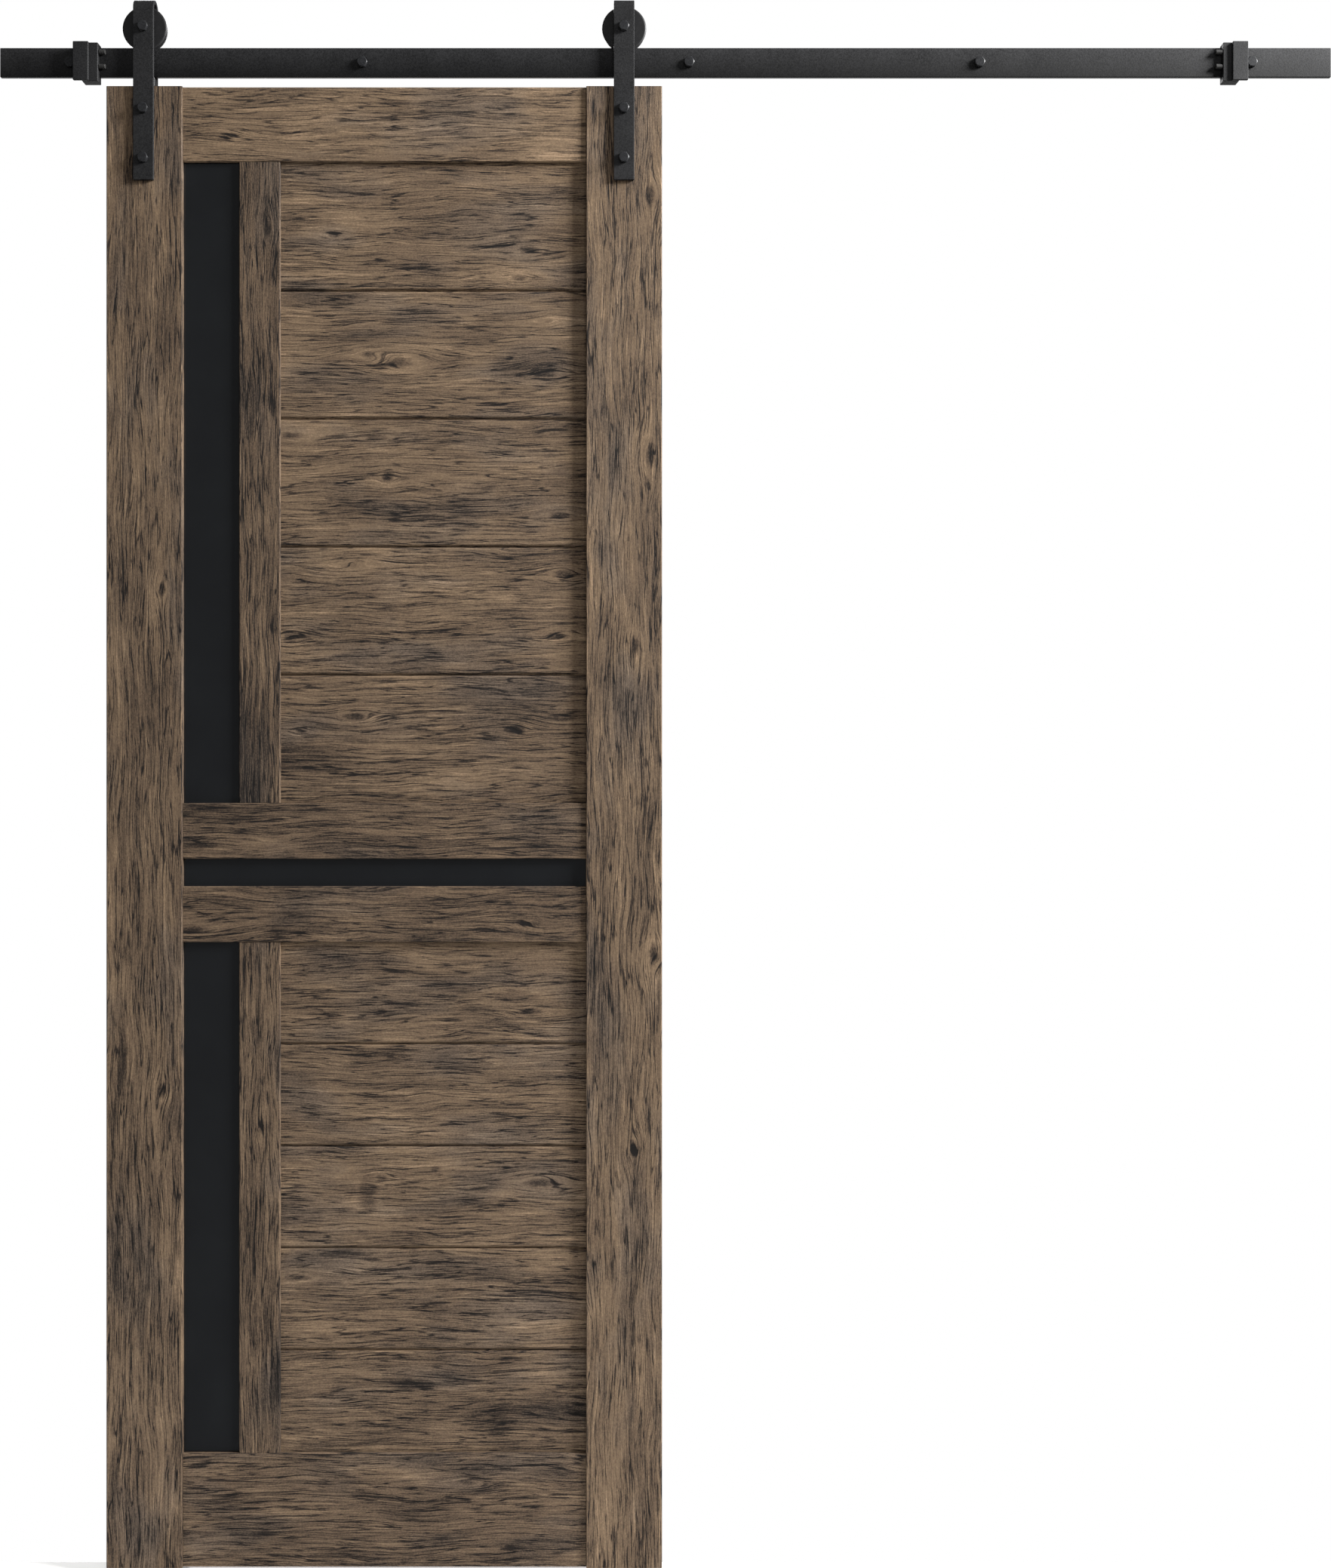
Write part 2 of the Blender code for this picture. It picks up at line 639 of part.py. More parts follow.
def build_frame(parent):
    """Stiles, rails and mullions. It returns the stiles, which the hangers' bolts go through."""
    stiles = {
        "left": member(
            "left_stile",
            (DOOR_LEFT_X, DOOR_BOTTOM_Z),
            (OPENING_LEFT_X, DOOR_TOP_Z),
            0,
            (False, True),
            True,
            False,
            parent,
        ),
        "right": member(
            "right_stile",
            (OPENING_RIGHT_X, DOOR_BOTTOM_Z),
            (DOOR_RIGHT_X, DOOR_TOP_Z),
            0,
            (True, False),
            True,
            False,
            parent,
        ),
    }
    rails = (
        ("top_rail", UPPER_PANEL_TOP_Z, DOOR_TOP_Z, (True, False)),
        ("upper_mid_rail", STRIP_TOP_Z, UPPER_PANEL_BOTTOM_Z, (True, True)),
        ("lower_mid_rail", LOWER_PANEL_TOP_Z, STRIP_BOTTOM_Z, (True, True)),
        ("bottom_rail", DOOR_BOTTOM_Z, LOWER_PANEL_BOTTOM_Z, (False, True)),
    )
    for name, low_z, high_z, grooves in rails:
        low = (OPENING_LEFT_X, low_z)
        high = (OPENING_RIGHT_X, high_z)
        member(name, low, high, RAIL_RECESS, grooves, False, True, parent)
    mullions = (
        ("upper_mullion", UPPER_PANEL_BOTTOM_Z, UPPER_PANEL_TOP_Z),
        ("lower_mullion", LOWER_PANEL_BOTTOM_Z, LOWER_PANEL_TOP_Z),
    )
    for name, low_z, high_z in mullions:
        low = (MULLION_LEFT_X, low_z)
        high = (PLANKS_LEFT_X, high_z)
        member(name, low, high, MULLION_RECESS, (True, True), True, True, parent)
    return stiles


def plank_outline(low, high, grooved, tongued):
    """A plank's section as (depth, Z): a groove in its low edge, a tongue on its high edge."""
    deep = PANEL_THICKNESS / 2
    shoulder = deep - PLANK_BEVEL
    slot = TONGUE_THICKNESS / 2 + FACE_GAP
    tongue = TONGUE_THICKNESS / 2
    slot_top = low + TONGUE_HEIGHT + 2 * FACE_GAP
    tongue_top = high + TONGUE_HEIGHT
    if grooved:
        half = [(deep, low + PLANK_BEVEL), (shoulder, low), (slot, low), (slot, slot_top)]
        points = [(-depth, z) for depth, z in half] + half[::-1]
    else:
        points = [(-deep, low), (deep, low)]
    if tongued:
        half = [(deep, high - PLANK_BEVEL), (shoulder, high), (tongue, high), (tongue, tongue_top)]
        points += half + [(-depth, z) for depth, z in half[::-1]]
    else:
        points += [(deep, high), (-deep, high)]
    return points


def build_planks(panel, low_z, high_z, parent):
    """The boards of one panel, numbered from the top. The end boards reach into the rails."""
    pitch = (high_z - low_z) / PLANKS_PER_PANEL
    length = OPENING_RIGHT_X - PLANKS_LEFT_X + 2 * PANEL_GRIP
    middle = ((OPENING_RIGHT_X + PLANKS_LEFT_X) / 2, DOOR_MID_Y, 0)
    for index in range(PLANKS_PER_PANEL):
        first = index == 0
        last = index == PLANKS_PER_PANEL - 1
        high = high_z - pitch * index + (PANEL_GRIP if first else -FACE_GAP / 2)
        low = high_z - pitch * (index + 1) + (-PANEL_GRIP if last else FACE_GAP / 2)
        outline = plank_outline(low, high, not last, not first)
        plank = outlined(f"{panel}_plank_{index + 1}", outline, length, middle)
        add_part(plank, "rustic_oak", parent)


def build_glass(name, low, high, parent):
    """A pane for an opening between two (X, Z) corners, held in the grooves around it."""
    front = DOOR_MID_Y - PANEL_THICKNESS / 2
    back = DOOR_MID_Y + PANEL_THICKNESS / 2
    start = (low[0] - PANEL_GRIP, front, low[1] - PANEL_GRIP)
    end = (high[0] + PANEL_GRIP, back, high[1] + PANEL_GRIP)
    pane = box(name, start, end)
    bevel(pane, GLASS_EDGE)
    add_part(pane, "black_glass", parent)


def build_door(parent):
    stiles = build_frame(parent)
    build_planks("upper", UPPER_PANEL_BOTTOM_Z, UPPER_PANEL_TOP_Z, parent)
    build_planks("lower", LOWER_PANEL_BOTTOM_Z, LOWER_PANEL_TOP_Z, parent)
    panes = (
        ("upper_glass", UPPER_PANEL_BOTTOM_Z, UPPER_PANEL_TOP_Z, MULLION_LEFT_X),
        ("middle_glass", STRIP_BOTTOM_Z, STRIP_TOP_Z, OPENING_RIGHT_X),
        ("lower_glass", LOWER_PANEL_BOTTOM_Z, LOWER_PANEL_TOP_Z, MULLION_LEFT_X),
    )
    for name, low_z, high_z, right_x in panes:
        build_glass(name, (OPENING_LEFT_X, low_z), (right_x, high_z), parent)
    return stiles


def build_hanger(label, x, stile, parent):
    build_strap(label, x, parent)
    build_axle(label, x, parent)
    build_wheel(label, x, parent)
    build_anti_jump(label, x, parent)
    for level, drop in zip(("upper", "lower"), DOOR_BOLT_DROPS):
        build_door_bolt(label, level, x, DOOR_TOP_Z - drop, stile, parent)


def main():
    root = add_empty("wall_mount", (0, 0, 0))
    build_track(root)
    build_stop(-1, STOP_INSET_LEFT, root)
    build_stop(1, STOP_INSET_RIGHT, root)
    carriage = add_empty("carriage", (DOOR_MID_X, RAIL_MID_Y, RAIL_TOP_Z), root)
    stiles = build_door(carriage)
    for label, x in HANGER_XS.items():
        build_hanger(label, x, stiles[label], carriage)


clear_scene()
PARTS = add_collection("sliding_barn_door")
CUTTERS = add_collection("cutters", hidden=True)
SLOTS = {name: add_material(name) for name in MATERIALS}
main()
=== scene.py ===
"""Looks for a sliding barn door: powder-coated track hardware and a rustic oak leaf.

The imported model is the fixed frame. The steel, nylon and rubber pieces are made again here with finer
meshes, each where its CAD solid stands. The oak and the glass keep their CAD solids under new finishes.
"""

from __future__ import annotations

import logging
import math
from dataclasses import dataclass, field
from enum import Enum
from typing import Any, Sequence

import bmesh
import bpy
from mathutils import Matrix, Vector

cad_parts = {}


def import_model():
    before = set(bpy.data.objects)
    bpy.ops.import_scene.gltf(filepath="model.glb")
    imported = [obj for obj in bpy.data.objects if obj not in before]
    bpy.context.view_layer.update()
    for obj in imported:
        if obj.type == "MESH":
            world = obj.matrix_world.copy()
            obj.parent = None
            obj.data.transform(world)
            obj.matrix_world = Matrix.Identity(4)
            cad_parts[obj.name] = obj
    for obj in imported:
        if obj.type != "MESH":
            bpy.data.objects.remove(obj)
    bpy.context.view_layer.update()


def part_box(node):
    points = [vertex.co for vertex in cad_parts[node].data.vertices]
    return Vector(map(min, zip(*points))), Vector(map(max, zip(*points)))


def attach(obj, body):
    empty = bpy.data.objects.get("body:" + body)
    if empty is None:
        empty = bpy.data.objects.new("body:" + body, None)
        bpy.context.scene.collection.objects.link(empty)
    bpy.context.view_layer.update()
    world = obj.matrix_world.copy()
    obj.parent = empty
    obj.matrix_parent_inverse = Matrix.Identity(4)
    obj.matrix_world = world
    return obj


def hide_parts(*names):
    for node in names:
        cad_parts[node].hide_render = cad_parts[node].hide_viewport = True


LOG = logging.getLogger("barn_door")
MM = 0.001
WELD = 1e-6
SMOOTH_ANGLE = math.radians(28)
ROUND_STEPS = 96
DRILL_STEPS = 64
EDGE_STEPS = 3
HEX_SIDES = 6
HEAD_STEPS = 72  # round a bolt's head
CROWN_SHARE = 0.92  # the flat top of a head, of its width across the flats
CROWN_SLOPE = math.tan(math.radians(32))
FOOT_SHARE = 0.6  # the chamfer under a head, of the one on top
TIP_SHARE = 0.06  # the blunt tip of a screw, of its radius
SIDES = ("left", "right")
LEVELS = ("upper", "lower")
TO_FRONT = Vector((0, -1, 0))
TO_BACK = Vector((0, 1, 0))

Point2 = tuple[float, float]
Point3 = tuple[float, float, float]
Obj = bpy.types.Object
Form = bmesh.types.BMesh
Tree = bpy.types.NodeTree
Shader = bpy.types.Node
Socket = bpy.types.NodeSocket
Place = Sequence[Socket]  # along, across and into a board, in millimetres


# Colour and nodes


def linear(colour: str) -> tuple[float, float, float, float]:
    """Turn an sRGB hex colour into linear RGBA.

    Args:
        colour: A colour such as "#6b5b4c".

    Returns:
        Linear red, green, blue and an alpha of one.
    """
    channels = [int(colour[start : start + 2], 16) / 255 for start in (1, 3, 5)]
    red, green, blue = (c / 12.92 if c <= 0.04045 else ((c + 0.055) / 1.055) ** 2.4 for c in channels)
    return (red, green, blue, 1.0)


def add_node(
    tree: Tree,
    kind: str,
    inputs: dict[str | int, Any] | tuple[Any, ...] = (),
    out: str | int | None = 0,
    **settings: Any,
) -> Socket | None:
    """Add one node with its settings and links.

    Args:
        tree: The node tree it goes in.
        kind: The node's Blender type, less "ShaderNode".
        inputs: A value or a linked socket for each named or numbered input, or for the first ones.
        out: The output that is wanted, or None for a node that has none.
        **settings: The node's own properties.

    Returns:
        The output socket. Its node is at socket.node.
    """
    node = tree.nodes.new(f"ShaderNode{kind}")
    for name, value in settings.items():
        setattr(node, name, value)
    given = inputs if isinstance(inputs, dict) else dict(enumerate(inputs))
    for key, value in given.items():
        if isinstance(value, bpy.types.NodeSocket):
            tree.links.new(value, node.inputs[key])
        else:
            node.inputs[key].default_value = value
    return None if out is None else node.outputs[out]


@dataclass(frozen=True)
class Finish:
    """What a piece is made of and how its surface was made."""

    name: str
    slot: str
    colour: str
    roughness: float
    metallic: float = 0.0
    specular: float = 0.5

    def build(self) -> bpy.types.Material:
        """Make the Blender material once and give it back each time it is asked for."""
        found = bpy.data.materials.get(self.name)
        if found is not None:
            return found
        material = bpy.data.materials.new(self.name)
        material.use_nodes = True
        material.diffuse_color = linear(self.colour)
        shader = material.node_tree.nodes["Principled BSDF"]
        shader.inputs["Base Color"].default_value = linear(self.colour)
        shader.inputs["Roughness"].default_value = self.roughness
        shader.inputs["Metallic"].default_value = self.metallic
        shader.inputs["Specular IOR Level"].default_value = self.specular
        self.detail(material.node_tree, shader)
        return material

    def detail(self, tree: Tree, shader: Shader) -> None:
        """Add the surface's own pattern. A plain finish has none."""

    def place(self, tree: Tree) -> Socket:
        """Give the piece's own coordinates in millimetres."""
        own = add_node(tree, "TexCoord", out="Object")
        return add_node(tree, "VectorMath", {0: own, "Scale": 1 / MM}, operation="SCALE")

    def speckle(self, tree: Tree, size_mm: float, octaves: float, roughness: float = 0.5) -> Socket:
        """Add a noise of a real size, fixed to the piece.

        Args:
            tree: The material's node tree.
            size_mm: The size of its patches, in millimetres.
            octaves: How much finer detail it has.
            roughness: How strong that detail is.

        Returns:
            The noise, mostly from 0.25 to 0.75.
        """
        noise = {"Vector": self.place(tree), "Scale": 1 / size_mm, "Detail": octaves, "Roughness": roughness}
        return add_node(tree, "TexNoise", noise)

    def vary(self, tree: Tree, shader: Shader, fac: Socket, low: str, high: str) -> None:
        """Run the base colour between two hex colours.

        Args:
            tree: The material's node tree.
            shader: Its Principled BSDF.
            fac: Nought for the low colour and one for the high colour.
            low: The low colour.
            high: The high colour.
        """
        shades = {"Factor": fac, 6: linear(low), 7: linear(high)}
        colour = add_node(tree, "Mix", shades, out=2, data_type="RGBA")
        tree.links.new(colour, shader.inputs["Base Color"])

    def relief(self, tree: Tree, shader: Shader, height: Socket, depth_mm: float) -> None:
        """Bump the surface by a height from nought to one.

        Args:
            tree: The material's node tree.
            shader: Its Principled BSDF.
            height: The height pattern.
            depth_mm: How deep a height of one is.
        """
        bump = add_node(tree, "Bump", {"Height": height, "Distance": depth_mm * MM})
        tree.links.new(bump, shader.inputs["Normal"])


@dataclass(frozen=True)
class PowderCoat(Finish):
    """Polyester powder baked on steel: a matt film with a fine dry grain all over."""

    low: str = "#0d0d0e"
    high: str = "#242425"
    grit_mm: float = 1.8  # the real grit is 0.2 mm, drawn coarser so that it shows
    cloud_mm: float = 45.0
    cloud_weight: float = 0.35
    depth_mm: float = 0.12

    def detail(self, tree: Tree, shader: Shader) -> None:
        """Mottle the film, and let its grit catch the light.

        Args:
            tree: The material's node tree.
            shader: Its Principled BSDF.
        """
        grit = self.speckle(tree, self.grit_mm, 2.0, 0.7)
        cloud = self.speckle(tree, self.cloud_mm, 2.0)
        both = add_node(tree, "Math", (cloud, self.cloud_weight, grit), operation="MULTIPLY_ADD")
        fac = add_node(tree, "MapRange", {"Value": both, "From Min": 0.45, "From Max": 0.9})
        self.vary(tree, shader, fac, self.low, self.high)
        span = {"Value": grit, "To Min": self.roughness - 0.06, "To Max": self.roughness + 0.08}
        rough = add_node(tree, "MapRange", span)
        tree.links.new(rough, shader.inputs["Roughness"])
        self.relief(tree, shader, grit, self.depth_mm)


@dataclass(frozen=True)
class PaintedShadeBarCoat(PowderCoat):
    """The same film on the track bar, with painted light and shade: its colour is made lighter at the top edge
    and darker at the lower one, as light from above would fall on it.
    """

    height_mm: float = 40.0
    painted_shade_gain: float = 0.35
    painted_light_gain: float = 2.2

    def detail(self, tree: Tree, shader: Shader) -> None:
        """Paint light and shade down the height of the bar: the film's colour is scaled lighter toward the top
        edge and darker toward the lower edge.

        Args:
            tree: The material's node tree.
            shader: Its Principled BSDF.
        """
        super().detail(tree, shader)
        film = shader.inputs["Base Color"].links[0].from_socket
        # painted light and shade: the film's colour is multiplied by a gain that runs from dark at the lower
        # edge to light at the top edge
        level = add_node(tree, "SeparateXYZ", (self.place(tree),), out="Z")
        height = {"Value": level, "From Min": -self.height_mm / 2, "From Max": self.height_mm / 2}
        gains = {"To Min": self.painted_shade_gain, "To Max": self.painted_light_gain}
        gain = add_node(tree, "MapRange", height | gains)
        shaded = add_node(tree, "VectorMath", {0: film, "Scale": gain}, operation="SCALE")
        tree.links.new(shaded, shader.inputs["Base Color"])


@dataclass(frozen=True)
class BearingSteel(Finish):
    """Hardened steel ground bright: a pale metal clouded by fine grinding marks."""

    mark_mm: float = 0.35

    def detail(self, tree: Tree, shader: Shader) -> None:
        """Cloud the colour and the shine with the grinding marks.

        Args:
            tree: The material's node tree.
            shader: Its Principled BSDF.
        """
        marks = self.speckle(tree, self.mark_mm, 3.0)
        self.vary(tree, shader, marks, "#8f9194", "#c3c5c8")
        rough = add_node(tree, "MapRange", {"Value": marks, "To Min": 0.2, "To Max": 0.38})
        tree.links.new(rough, shader.inputs["Roughness"])


@dataclass(frozen=True)
class TurnedNylon(Finish):
    """Black nylon turned on a lathe: satin, with the tool's faint rings."""

    axles: tuple[Point2, ...] = ()  # the (X, Z) of each axle, in metres
    ring_mm: float = 0.9
    ring_weight: float = 0.12
    cloud_mm: float = 6.0

    def detail(self, tree: Tree, shader: Shader) -> None:
        """Ring the faces about the nearest axle and mottle them a little.

        Args:
            tree: The material's node tree.
            shader: Its Principled BSDF.
        """
        own = add_node(tree, "TexCoord", out="Object")
        reach = None
        for across, up in self.axles:
            scaled = (own, (1 / MM, 0.0, 1 / MM), (-across / MM, 0.0, -up / MM))
            flat = add_node(tree, "VectorMath", scaled, operation="MULTIPLY_ADD")
            radius = add_node(tree, "VectorMath", (flat,), out="Value", operation="LENGTH")
            if reach is None:
                reach = radius
            else:
                reach = add_node(tree, "Math", (reach, radius), operation="MINIMUM")
        turns = add_node(tree, "Math", (reach, math.tau / self.ring_mm), operation="MULTIPLY")
        rings = add_node(tree, "Math", (turns,), operation="SINE")
        cloud = self.speckle(tree, self.cloud_mm, 4.0)
        fac = add_node(tree, "Math", (rings, self.ring_weight, cloud), operation="MULTIPLY_ADD")
        self.vary(tree, shader, fac, "#151516", "#29292a")
        self.relief(tree, shader, fac, 0.04)


@dataclass(frozen=True)
class MouldedRubber(Finish):
    """Black rubber from a mould: dull, with a soft bloom on it."""

    bloom_mm: float = 2.5

    def detail(self, tree: Tree, shader: Shader) -> None:
        """Cloud the rubber with its bloom.

        Args:
            tree: The material's node tree.
            shader: Its Principled BSDF.
        """
        bloom = self.speckle(tree, self.bloom_mm, 5.0)
        self.vary(tree, shader, bloom, "#161616", "#3a3938")
        self.relief(tree, shader, bloom, 0.03)


@dataclass(frozen=True)
class BlackGlass(Finish):
    """Back-painted float glass: a flat black mirror with a trace of waviness."""

    wave_mm: float = 140.0
    dust_mm: float = 60.0

    def detail(self, tree: Tree, shader: Shader) -> None:
        """Roll the surface very gently, and leave a dusty bloom that is barely there.

        Args:
            tree: The material's node tree.
            shader: Its Principled BSDF.
        """
        self.relief(tree, shader, self.speckle(tree, self.wave_mm, 1.0), 0.04)
        dust = self.speckle(tree, self.dust_mm, 6.0)
        self.vary(tree, shader, dust, "#141517", "#1d1f21")


class Grain(Enum):
    """The way a board's fibres run."""

    LEVEL = "level"
    UPRIGHT = "upright"


@dataclass(frozen=True)
class Knot:
    """A knot, an eye or a smoky figure in a board.

    Places and sizes are in millimetres, from the board's left end or its top, and a size is the
    whole length or width of the dark core. A soft one fades out like smoke.
    """

    along: float
    across: float
    long: float
    wide: float
    dark: float = 1.0
    soft: float = 0.0


@dataclass(frozen=True)
class RusticOak(Finish):
    """Wire-brushed oak under a grey-brown stain.

    The fibres stand out in fine streaks, the stain lies dark in the pores, cracks and knots, and the
    boards have smoky clouds along the grain.
    """

    grain: Grain = Grain.LEVEL
    corner: Point3 = (0.0, 0.0, 0.0)  # the board's left, front, top corner
    seed: float = 0.0
    shade: float = 0.0
    knots: tuple[Knot, ...] = ()
    fibre_mm: float = 1.4
    fibre_long_mm: float = 34.0
    ring_mm: float = 6.5
    crack_mm: float = 16.0
    sway_mm: float = 22.0
    bend_share: float = 0.42  # how far a knot pushes the grain, of its width
    bend_fall: float = 0.16  # how soon that push dies away
    ragged: float = 2.0  # how uneven a knot's outline is
    core_edge: Point2 = (2.6, 0.4)  # where a knot's core starts and where it is full
    soft_reach: float = 1.6  # how much further a soft knot starts
    soft_loss: float = 0.3  # how much paler it is
    knot_depth: float = 0.6
    halo_gain: float = 0.1  # the paler wood round a knot
    base_level: float = 0.19
    fibre_weight: float = 0.8  # how much the fibres show
    line_core: float = 0.3  # the full-dark part of a line's width

    def board_place(self, tree: Tree) -> Place:
        """Find a point's place on the board.

        Args:
            tree: The material's node tree.

        Returns:
            The place along, across and into the board, in millimetres.
        """
        own = add_node(tree, "TexCoord", out="Object")
        left, front, top = self.corner
        shift = (own, (1 / MM, 1 / MM, -1 / MM), (-left / MM, -front / MM, top / MM))
        moved = add_node(tree, "VectorMath", shift, operation="MULTIPLY_ADD")
        split = add_node(tree, "SeparateXYZ", (moved,)).node.outputs
        if self.grain is Grain.LEVEL:
            return split["X"], split["Z"], split["Y"]
        return split["Z"], split["X"], split["Y"]

    def pattern(
        self,
        tree: Tree,
        board: Place,
        long: float,
        wide: float,
        shift: float,
        detail: float = 2.0,
        roughness: float = 0.5,
    ) -> Socket:
        """Add a noise that is stretched along the grain.

        Args:
            tree: The material's node tree.
            board: The place along, across and into the board.
            long: The pattern's size along the grain, in millimetres.
            wide: Its size across the grain.
            shift: What keeps this layer apart from the others.
            detail: Octaves of the noise.
            roughness: How strong its fine octaves are.

        Returns:
            The noise, mostly from 0.25 to 0.75.
        """
        along, across, into = board
        place = add_node(tree, "CombineXYZ", (along, across, into))
        own_part = (self.seed + shift, shift * 1.7, self.seed * 0.37)  # no two layers or boards alike
        stretch = (place, (1 / long, 1 / wide, 1 / wide), own_part)
        scaled = add_node(tree, "VectorMath", stretch, operation="MULTIPLY_ADD")
        noise = {"Vector": scaled, "Scale": 1.0, "Detail": detail, "Roughness": roughness}
        return add_node(tree, "TexNoise", noise)

    def swell(self, tree: Tree, board: Place) -> tuple[Place, Socket | float, Socket | float]:
        """Bend the grain round the knots.

        Args:
            tree: The material's node tree.
            board: The place along, across and into the board.

        Returns:
            The bent place, how dark each point is from a knot, and how near it is to one.
        """
        along, across, into = board
        sway = self.pattern(tree, board, 160, 60, 3.1, 1.5)
        drift = add_node(tree, "Math", (sway, self.sway_mm, -self.sway_mm / 2), operation="MULTIPLY_ADD")
        across = add_node(tree, "Math", (across, drift), operation="ADD")
        rough = self.pattern(tree, board, 16, 5, 8.4, 3.0, 0.6)
        bent = across
        darkness: Socket | float = 0.0
        nearness: Socket | float = 0.0
        for knot in self.knots:
            place = add_node(tree, "CombineXYZ", (along, board[1]))
            wide, long = 2 / knot.wide, 2 / knot.long
            scaled = (place, (long, wide, 0.0), (-knot.along * long, -knot.across * wide, 0.0))
            inside = add_node(tree, "VectorMath", scaled, operation="MULTIPLY_ADD")
            square = add_node(tree, "VectorMath", (inside, inside), out="Value", operation="DOT_PRODUCT")
            if not knot.soft:
                spread = add_node(tree, "Math", (square, -self.bend_fall), operation="MULTIPLY")
                near = add_node(tree, "Math", (math.e, spread), operation="POWER")
                side = add_node(tree, "SeparateXYZ", (inside,), out="Y")
                push = add_node(tree, "Math", (side, near), operation="MULTIPLY")
                pushed = (push, -self.bend_share * knot.wide, bent)
                bent = add_node(tree, "Math", pushed, operation="MULTIPLY_ADD")
                nearness = add_node(tree, "Math", (nearness, near), operation="MAXIMUM")
            uneven = add_node(tree, "Math", (rough, self.ragged, square), operation="MULTIPLY_ADD")
            start, full = self.core_edge[0] + self.soft_reach * knot.soft, self.core_edge[1]
            fade = {"Value": uneven, "From Min": start, "From Max": full, "To Min": 0.0}
            fade["To Max"] = knot.dark * (1 - self.soft_loss * knot.soft)
            core = add_node(tree, "MapRange", fade, interpolation_type="SMOOTHSTEP")
            darkness = add_node(tree, "Math", (darkness, core), operation="MAXIMUM")
        return (along, bent, into), darkness, nearness

    def detail(self, tree: Tree, shader: Shader) -> None:
        """Lay the fibres, rings, pores, clouds and cracks over each other.

        Args:
            tree: The material's node tree.
            shader: Its Principled BSDF.
        """
        board = self.board_place(tree)
        bent, knotted, near = self.swell(tree, board)

        # each is given its size along and across the grain, its shift, its octaves and their strength
        fibre = self.pattern(tree, bent, self.fibre_long_mm, self.fibre_mm, 0.0, 4.0, 0.75)
        rings = self.pattern(tree, bent, 150, self.ring_mm, 5.3, 2.0, 0.5)
        grain = self.pattern(tree, bent, 130, 4.0, 7.9, 3.0, 0.55)
        tone = self.pattern(tree, bent, 130, 42, 11.9, 3.0, 0.5)
        speck = self.pattern(tree, board, 3.0, 1.9, 17.3, 3.0, 0.8)
        smoke = self.pattern(tree, bent, 170, 60, 23.7, 3.0, 0.5)
        light = self.pattern(tree, bent, 80, 3.6, 31.1, 3.0, 0.6)
        pores = self.pattern(tree, bent, 36, 1.5, 37.9, 2.0, 0.6)
        cracks = self.pattern(tree, bent, 380, self.crack_mm, 43.3, 3.0, 0.5)
        patch = self.pattern(tree, board, 100, 36, 51.7, 1.0)

        base = (fibre, self.fibre_weight, self.shade + self.base_level)
        value = add_node(tree, "Math", base, operation="MULTIPLY_ADD")
        for layer, weight in ((rings, 0.35), (tone, 0.6), (speck, 0.75)):
            centred = add_node(tree, "Math", (layer, 0.5), operation="SUBTRACT")
            value = add_node(tree, "Math", (centred, weight, value), operation="MULTIPLY_ADD")

        steps = (
            # pattern, from, to, how much it adds
            (light, 0.56, 0.66, 0.18),
            (smoke, 0.50, 0.80, -0.21),
            (pores, 0.62, 0.70, -0.11),
        )
        for layer, start, end, amount in steps:
            span = {"Value": layer, "From Min": start, "From Max": end, "To Min": 0.0, "To Max": amount}
            part = add_node(tree, "MapRange", span, interpolation_type="SMOOTHSTEP")
            value = add_node(tree, "Math", (value, part), operation="ADD")

        lines = (
            # pattern, half width of the line, where the patch lets it show, how dark it is
            (rings, 0.026, 0.20, 0.45, 0.42),
            (grain, 0.030, 0.20, 0.40, 0.32),
            (cracks, 0.009, 0.52, 0.60, 0.4),
        )
        for layer, width, start, end, amount in lines:
            middle = add_node(tree, "Math", (layer, 0.5), operation="SUBTRACT")
            middle = add_node(tree, "Math", (middle,), operation="ABSOLUTE")
            span = {"Value": middle, "From Min": width, "From Max": self.line_core * width}
            line = add_node(tree, "MapRange", span)
            span = {"Value": patch, "From Min": start, "From Max": end, "To Min": 0.0, "To Max": -amount}
            gate = add_node(tree, "MapRange", span)
            value = add_node(tree, "Math", (line, gate, value), operation="MULTIPLY_ADD")

        halo = add_node(tree, "Math", (near, self.halo_gain, value), operation="MULTIPLY_ADD")
        value = add_node(tree, "Math", (knotted, -self.knot_depth, halo), operation="MULTIPLY_ADD")

        ramp = add_node(tree, "ValToRGB", (value,))
        stops = ramp.node.color_ramp.elements
        shades = (
            (0.0, "#1b1715"),
            (0.22, "#392f27"),
            (0.5, "#695746"),
            (0.74, "#836e57"),
            (1.0, "#aa8f73"),
        )
        while len(stops) < len(shades):
            stops.new(0.5)
        for stop, (place, colour) in zip(stops, shades):
            stop.position = place
            stop.color = linear(colour)

        # the smoky clouds are greyer as well as darker
        span = {"Value": smoke, "From Min": 0.5, "From Max": 0.72, "To Min": 0.0, "To Max": 0.45}
        cool = add_node(tree, "MapRange", span)
        greyed = {"Color": ramp, "Saturation": 0.6, "Value": 0.97, "Fac": 1.0}
        grey = add_node(tree, "HueSaturation", greyed)
        colour = add_node(tree, "Mix", {"Factor": cool, 6: ramp, 7: grey}, out=2, data_type="RGBA")
        tree.links.new(colour, shader.inputs["Base Color"])

        span = {"Value": value, "To Min": self.roughness + 0.12, "To Max": self.roughness - 0.08}
        rough = add_node(tree, "MapRange", span)
        tree.links.new(rough, shader.inputs["Roughness"])
        self.relief(tree, shader, value, 0.35)


